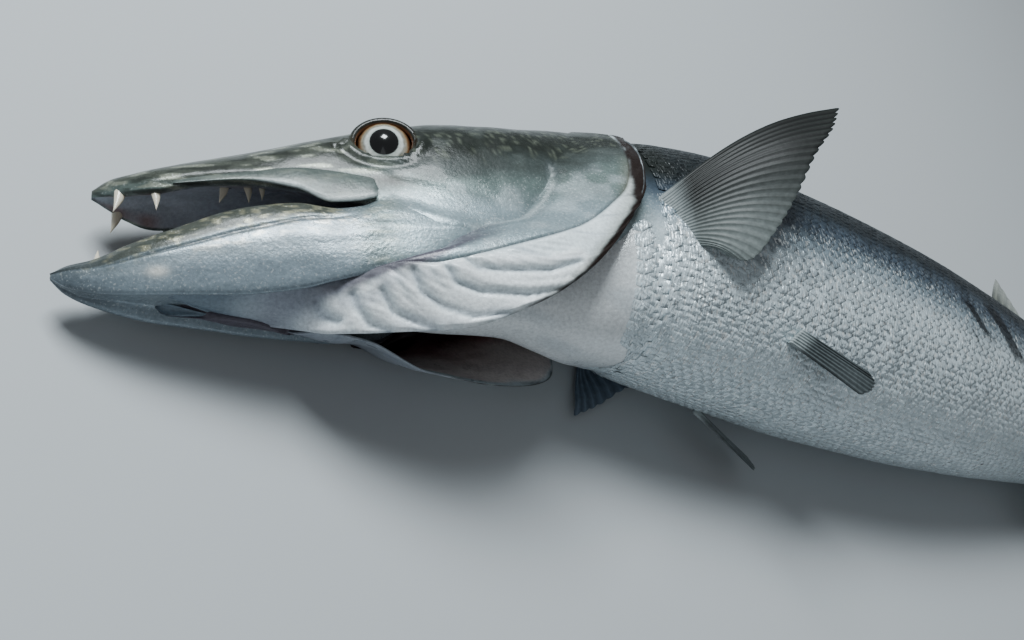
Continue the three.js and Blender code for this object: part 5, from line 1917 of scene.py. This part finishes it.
# The coat of scales.
@dataclass
class ScaleCoat:
    """Overlapping scales over the trunk, in slanting rows, as solid mesh."""

    spacing: float = 6.6
    rows: int = 49
    scale_length: float = 10.5
    scale_width: float = 7.4
    # Half way round the body where scales have their full width.
    full_girth: float = 200.0
    first: float = 243.0
    last: float = 888.0
    lift: float = 0.16
    # Share of a scale ahead of its root, its own random slope, and its patch on the bake map.
    rooted: float = 0.35
    wobble: float = 0.015
    patch: float = 0.003

    def template(self) -> tuple[Array, Array]:
        """One scale: a thin curved shingle, 1 long and 1 wide.

        Returns:
            The corner points and the faces.
        """
        shape = bmesh.new()
        bmesh.ops.create_grid(shape, x_segments=3, y_segments=3, size=0.5)
        for vert in shape.verts:
            x, y = vert.co.x + 0.5, vert.co.y * 2
            width = math.sqrt(max(0.0, 1 - max(0.0, (x - 0.55) / 0.45) ** 2)) * 0.55 + 0.45
            width *= 0.8 + 0.2 * min(1.0, x * 3)
            rear = 1 - 0.24 * y * y
            vert.co.x = x * rear
            vert.co.y = y * 0.5 * width
            vert.co.z = 0.9 * x * (1 - 0.12 * y * y) - 0.35
        edges = [
            e for e in shape.edges
            if e.is_boundary and max(e.verts[0].co.x, e.verts[1].co.x) > 0.4]
        made = bmesh.ops.extrude_edge_only(shape, edges=edges)["geom"]
        for vert in (g for g in made if isinstance(g, bmesh.types.BMVert)):
            vert.co.z -= 0.6
        bmesh.ops.recalc_face_normals(shape, faces=shape.faces)
        shape.verts.index_update()
        points = np.array([vert.co[:] for vert in shape.verts])
        faces = np.array([[v.index for v in face.verts] for face in shape.faces])
        shape.free()
        return points, faces

    def places(self) -> Array:
        """Centres of the scales, as s and place round the section (0 back, 1 belly)."""
        rng = np.random.default_rng(11)
        rows = []
        for k in range(self.rows):
            q = (k + 0.5) / self.rows
            s = np.arange(self.first + (k % 2) * self.spacing / 2, self.last, self.spacing)
            rows.append(np.stack([s + rng.uniform(-0.5, 0.5, len(s)),
                                  q + rng.uniform(-0.0015, 0.0015, len(s))], -1))
        place = np.concatenate(rows)
        v, _ = self.section(place[:, 0], place[:, 1])
        open_skin = Throat.table["top"](place[:, 0]) - 5
        return place[(place[:, 0] > 258) | (v < open_skin)]

    def build(self) -> list[Piece]:
        """Make the coat, one piece for each side.

        Returns:
            The two coat pieces.
        """
        template, faces = self.template()
        return [self.side_coat(side, template, faces) for side in Side]

    def directions(self, s: Array, q: Array, side: Side) -> tuple[Array, ...]:
        """Posed roots of the scales and how each lies.

        Args:
            s: the roots' stations.
            q: their places round the section.
            side: which side they are on.

        Returns:
            Root, directions tailward, round the body and outwards, and half the girth.
        """
        root = self.surface(s, q, side)
        along = self.surface(s + 1.0, q, side) - self.surface(s - 1.0, q, side)
        around = self.surface(s, q + 0.002, side) - self.surface(s, q - 0.002, side)
        girth = np.linalg.norm(around, axis=-1) / 0.004
        along, around = unit(along), unit(around)
        normal = np.cross(along, around) * side.value
        outward = np.sign((normal * LINE.from_midline(root)).sum(-1, keepdims=True))
        return root, along, around, normal * np.where(outward == 0, 1, outward), girth

    def side_coat(self, side: Side, template: Array, faces: Array) -> Piece:
        """The coat of one side.

        Args:
            side: which side of the fish.
            template: corner points of one scale.
            faces: corner numbers of its faces.

        Returns:
            The coat piece, dressed and riding on the body.
        """
        rng = np.random.default_rng(20 + side.value)
        place = self.places()
        s, q = place[:, 0], place[:, 1]
        root, along, around, normal, girth = self.directions(s, q, side)
        tilt = rng.normal(0, self.wobble, (len(s), 2))
        size = np.clip(girth * 1000 / self.full_girth, 0.3, 1.1)[:, None]
        x = (template[None, :, 0] - self.rooted) * self.scale_length * (0.55 + 0.45 * size)
        y = template[None, :, 1] * self.scale_width * size
        z = template[None, :, 2] * self.lift + tilt[:, :1] * x * 0.6 + tilt[:, 1:] * y
        # the first rows lie calm and deep, so that they rise out of the smooth skin
        calm = mix(0.04, 1.0, ramp(244, 335, s))[:, None]
        z = z * calm - mix(0.58, 0.15, ramp(243, 268, s))[:, None]
        world = (root[:, None, :] + (along[:, None, :] * x[..., None]
                 + around[:, None, :] * y[..., None] + normal[:, None, :] * z[..., None]) / 1000)
        world[..., 2] = np.maximum(world[..., 2], 0.0001)
        count, corners = len(s), len(template)
        index = (faces[None] + (np.arange(count) * corners)[:, None, None]).reshape(-1, 4)
        mesh = bpy.data.meshes.new(f"scales_{side.name.lower()}")
        mesh.vertices.add(count * corners)
        mesh.vertices.foreach_set("co", world.astype(np.float32).ravel())
        mesh.loops.add(index.size)
        mesh.loops.foreach_set("vertex_index", index.ravel().astype(np.int32))
        mesh.polygons.add(len(index))
        mesh.polygons.foreach_set("loop_start", np.arange(0, index.size, 4, dtype=np.int32))
        mesh.update(calc_edges=True)
        corner_s = s[:, None] + x
        v, u = self.section(corner_s, np.clip(q[:, None] + y / 1000 / girth[:, None], 0, 1))
        fish = np.stack([corner_s, v, u * side.value], -1).reshape(-1, 3)
        tint = MARKS.body(fish)
        glint = np.clip(rng.normal(0.5, 0.22, count), 0, 1)
        silver = silver_share(tint) * mix(0.7, 1, ramp(240, 290, fish[:, 0]))
        add_attribute(mesh, "tint", np.c_[tint, np.ones(len(tint))])
        add_attribute(mesh, "glint", np.repeat(glint, corners))
        add_attribute(mesh, "silver", silver)
        add_attribute(mesh, "fish", fish / 1000)
        # each scale is a small patch at its root's place on the skin's unwrap
        half = 0.5 if side is Side.LEFT else 0.0
        on_map = np.stack([(s - self.first) / (self.last - self.first) * 0.98 + 0.01,
                           half + q * 0.48 + 0.01], -1)
        spread = on_map[:, None, :] + ((template[:, :2] - [0.5, 0.0]) * self.patch)[None]
        uv = mesh.uv_layers.new(name="OFBake")
        uv.data.foreach_set("uv", spread.reshape(-1, 2)[index.ravel()].astype(np.float32).ravel())
        piece = join_meshes(mesh.name, [mesh])
        return settle(piece, ScaleShine())

    @staticmethod
    def section(s: Array, q: Array) -> tuple[Array, Array]:
        """v and u of single places on the trunk, and on the throat's girdle before it."""
        v, u = Trunk.ring(Trunk.table.at(s), q * np.pi)
        neck = Throat.table.at(s)
        top = neck["top"] - 2
        down = np.clip((top - v) / (top - neck["bottom"]), 0, 1) ** (1 / 0.9)
        girdle = neck["half"] * np.cos(np.arcsin(down)) ** 0.8
        return v, mix(u, girdle, ramp(259, 250, s))

    def surface(self, s: Array, q: Array, side: Side) -> Array:
        """Posed places on the trunk, in metres."""
        v, u = self.section(s, np.clip(q, 1e-4, 1 - 1e-4))
        return LINE.pose(np.stack([s, v, u * side.value], -1), floor=False)


# Camera, lights and floor.
@dataclass
class Studio:
    """Camera at the photograph's angle, soft lights and a pale floor."""

    # The camera's place from the start of the resting line, and its directions.
    eye: Place = (-72.3, -272.0, 334.7)
    right: Place = (0.82448, -0.13417, 0.54975)
    up: Place = (-0.16116, 0.87558, 0.45539)
    ahead: Place = (0.54246, 0.46406, -0.70028)
    focal: float = 36.0
    # Name, place, aim, side in metres and power in watts of each soft box.
    lamps: tuple[tuple[str, Place, Place, float, float], ...] = (
        ("key_light", (-0.88, 0.86, 1.42), (0.0, 0.0, 0.0), 0.75, 50.0),
        ("fill_light", (-0.9, -1.2, 0.9), (-0.1, 0.0, 0.0), 1.2, 1.5),
    )
    # Cool daylight, as over open water.
    lamp_colour: Place = (0.89, 0.965, 1.0)
    room_colour: str = "#dfe5ea"
    room_strength: float = 0.23

    def camera(self) -> None:
        """Place the camera, measured from the midline just behind the head."""
        behind_head = 260.0
        anchor = LINE.pose(np.array([behind_head, 0, 0])) - (behind_head / 1000, 0, 0)
        data = bpy.data.cameras.new("camera")
        data.sensor_width = 36.0
        data.lens = self.focal
        camera = show("camera", data)
        turn = Matrix((self.right, self.up, tuple(-k for k in self.ahead))).transposed()
        camera.matrix_world = Matrix.Translation(Vector(anchor + np.array(self.eye) / 1000)) \
            @ turn.to_4x4()
        data.clip_start, data.clip_end = 0.01, 50.0
        bpy.context.scene.camera = camera

    def lights(self) -> None:
        """Hang the soft boxes and set the pale surroundings."""
        for name, place, aim, size, power in self.lamps:
            data = bpy.data.lights.new(name, "AREA")
            data.shape = "SQUARE"
            data.size = size
            data.energy = power
            data.color = self.lamp_colour
            lamp = show(name, data)
            lamp.location = place
            direction = Vector(aim) - Vector(place)
            lamp.rotation_mode = "QUATERNION"
            lamp.rotation_quaternion = direction.to_track_quat("-Z", "Y")
        world = bpy.data.worlds.new("pale_room")
        world.use_nodes = True
        backdrop = world.node_tree.nodes["Background"]
        backdrop.inputs["Color"].default_value = (*linear(self.room_colour), 1)
        backdrop.inputs["Strength"].default_value = self.room_strength
        bpy.context.scene.world = world

    def floor(self) -> None:
        """Lay the pale floor."""
        shape = bmesh.new()
        bmesh.ops.create_grid(shape, x_segments=1, y_segments=1, size=6.0)
        mesh = finished(shape, "floor")
        piece = show("floor", mesh)
        mesh.materials.append(FloorPaint().material())

    def build(self) -> None:
        """Set the camera, lights and floor."""
        self.camera()
        self.lights()
        self.floor()


def trunk_section(from_s: float, to_s: float, steps: int, count: int = 30) -> Array:
    """Corner points of a packed trunk node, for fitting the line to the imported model.

    Args:
        from_s: station of the cut before the node.
        to_s: station of the cut after it.
        steps: how many rings apart its ends are.
        count: corners round each ring.

    Returns:
        s, v and u of every corner.
    """
    s = np.linspace(from_s + CUT / 2, to_s - CUT / 2, steps + 1)
    turn = np.arange(count) / count * 2 * np.pi
    form = Trunk.table.rows(s)
    return section_grid(s, *Trunk.ring(form, turn[None, :]))


def main() -> None:
    """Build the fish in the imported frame, with its camera and lights."""
    logging.basicConfig(level=logging.INFO, format="%(message)s")
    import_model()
    LINE.fit_to("tail_base", trunk_section(700, TAIL_ROOT, 8))
    Studio().build()
    Skin().build()
    for side in Side:
        Eye(side).build()
    Teeth().build()
    Tongue().build()
    for fin in all_fins():
        fin.build()
    ScaleCoat().build()


if __name__ == "__main__":
    main()
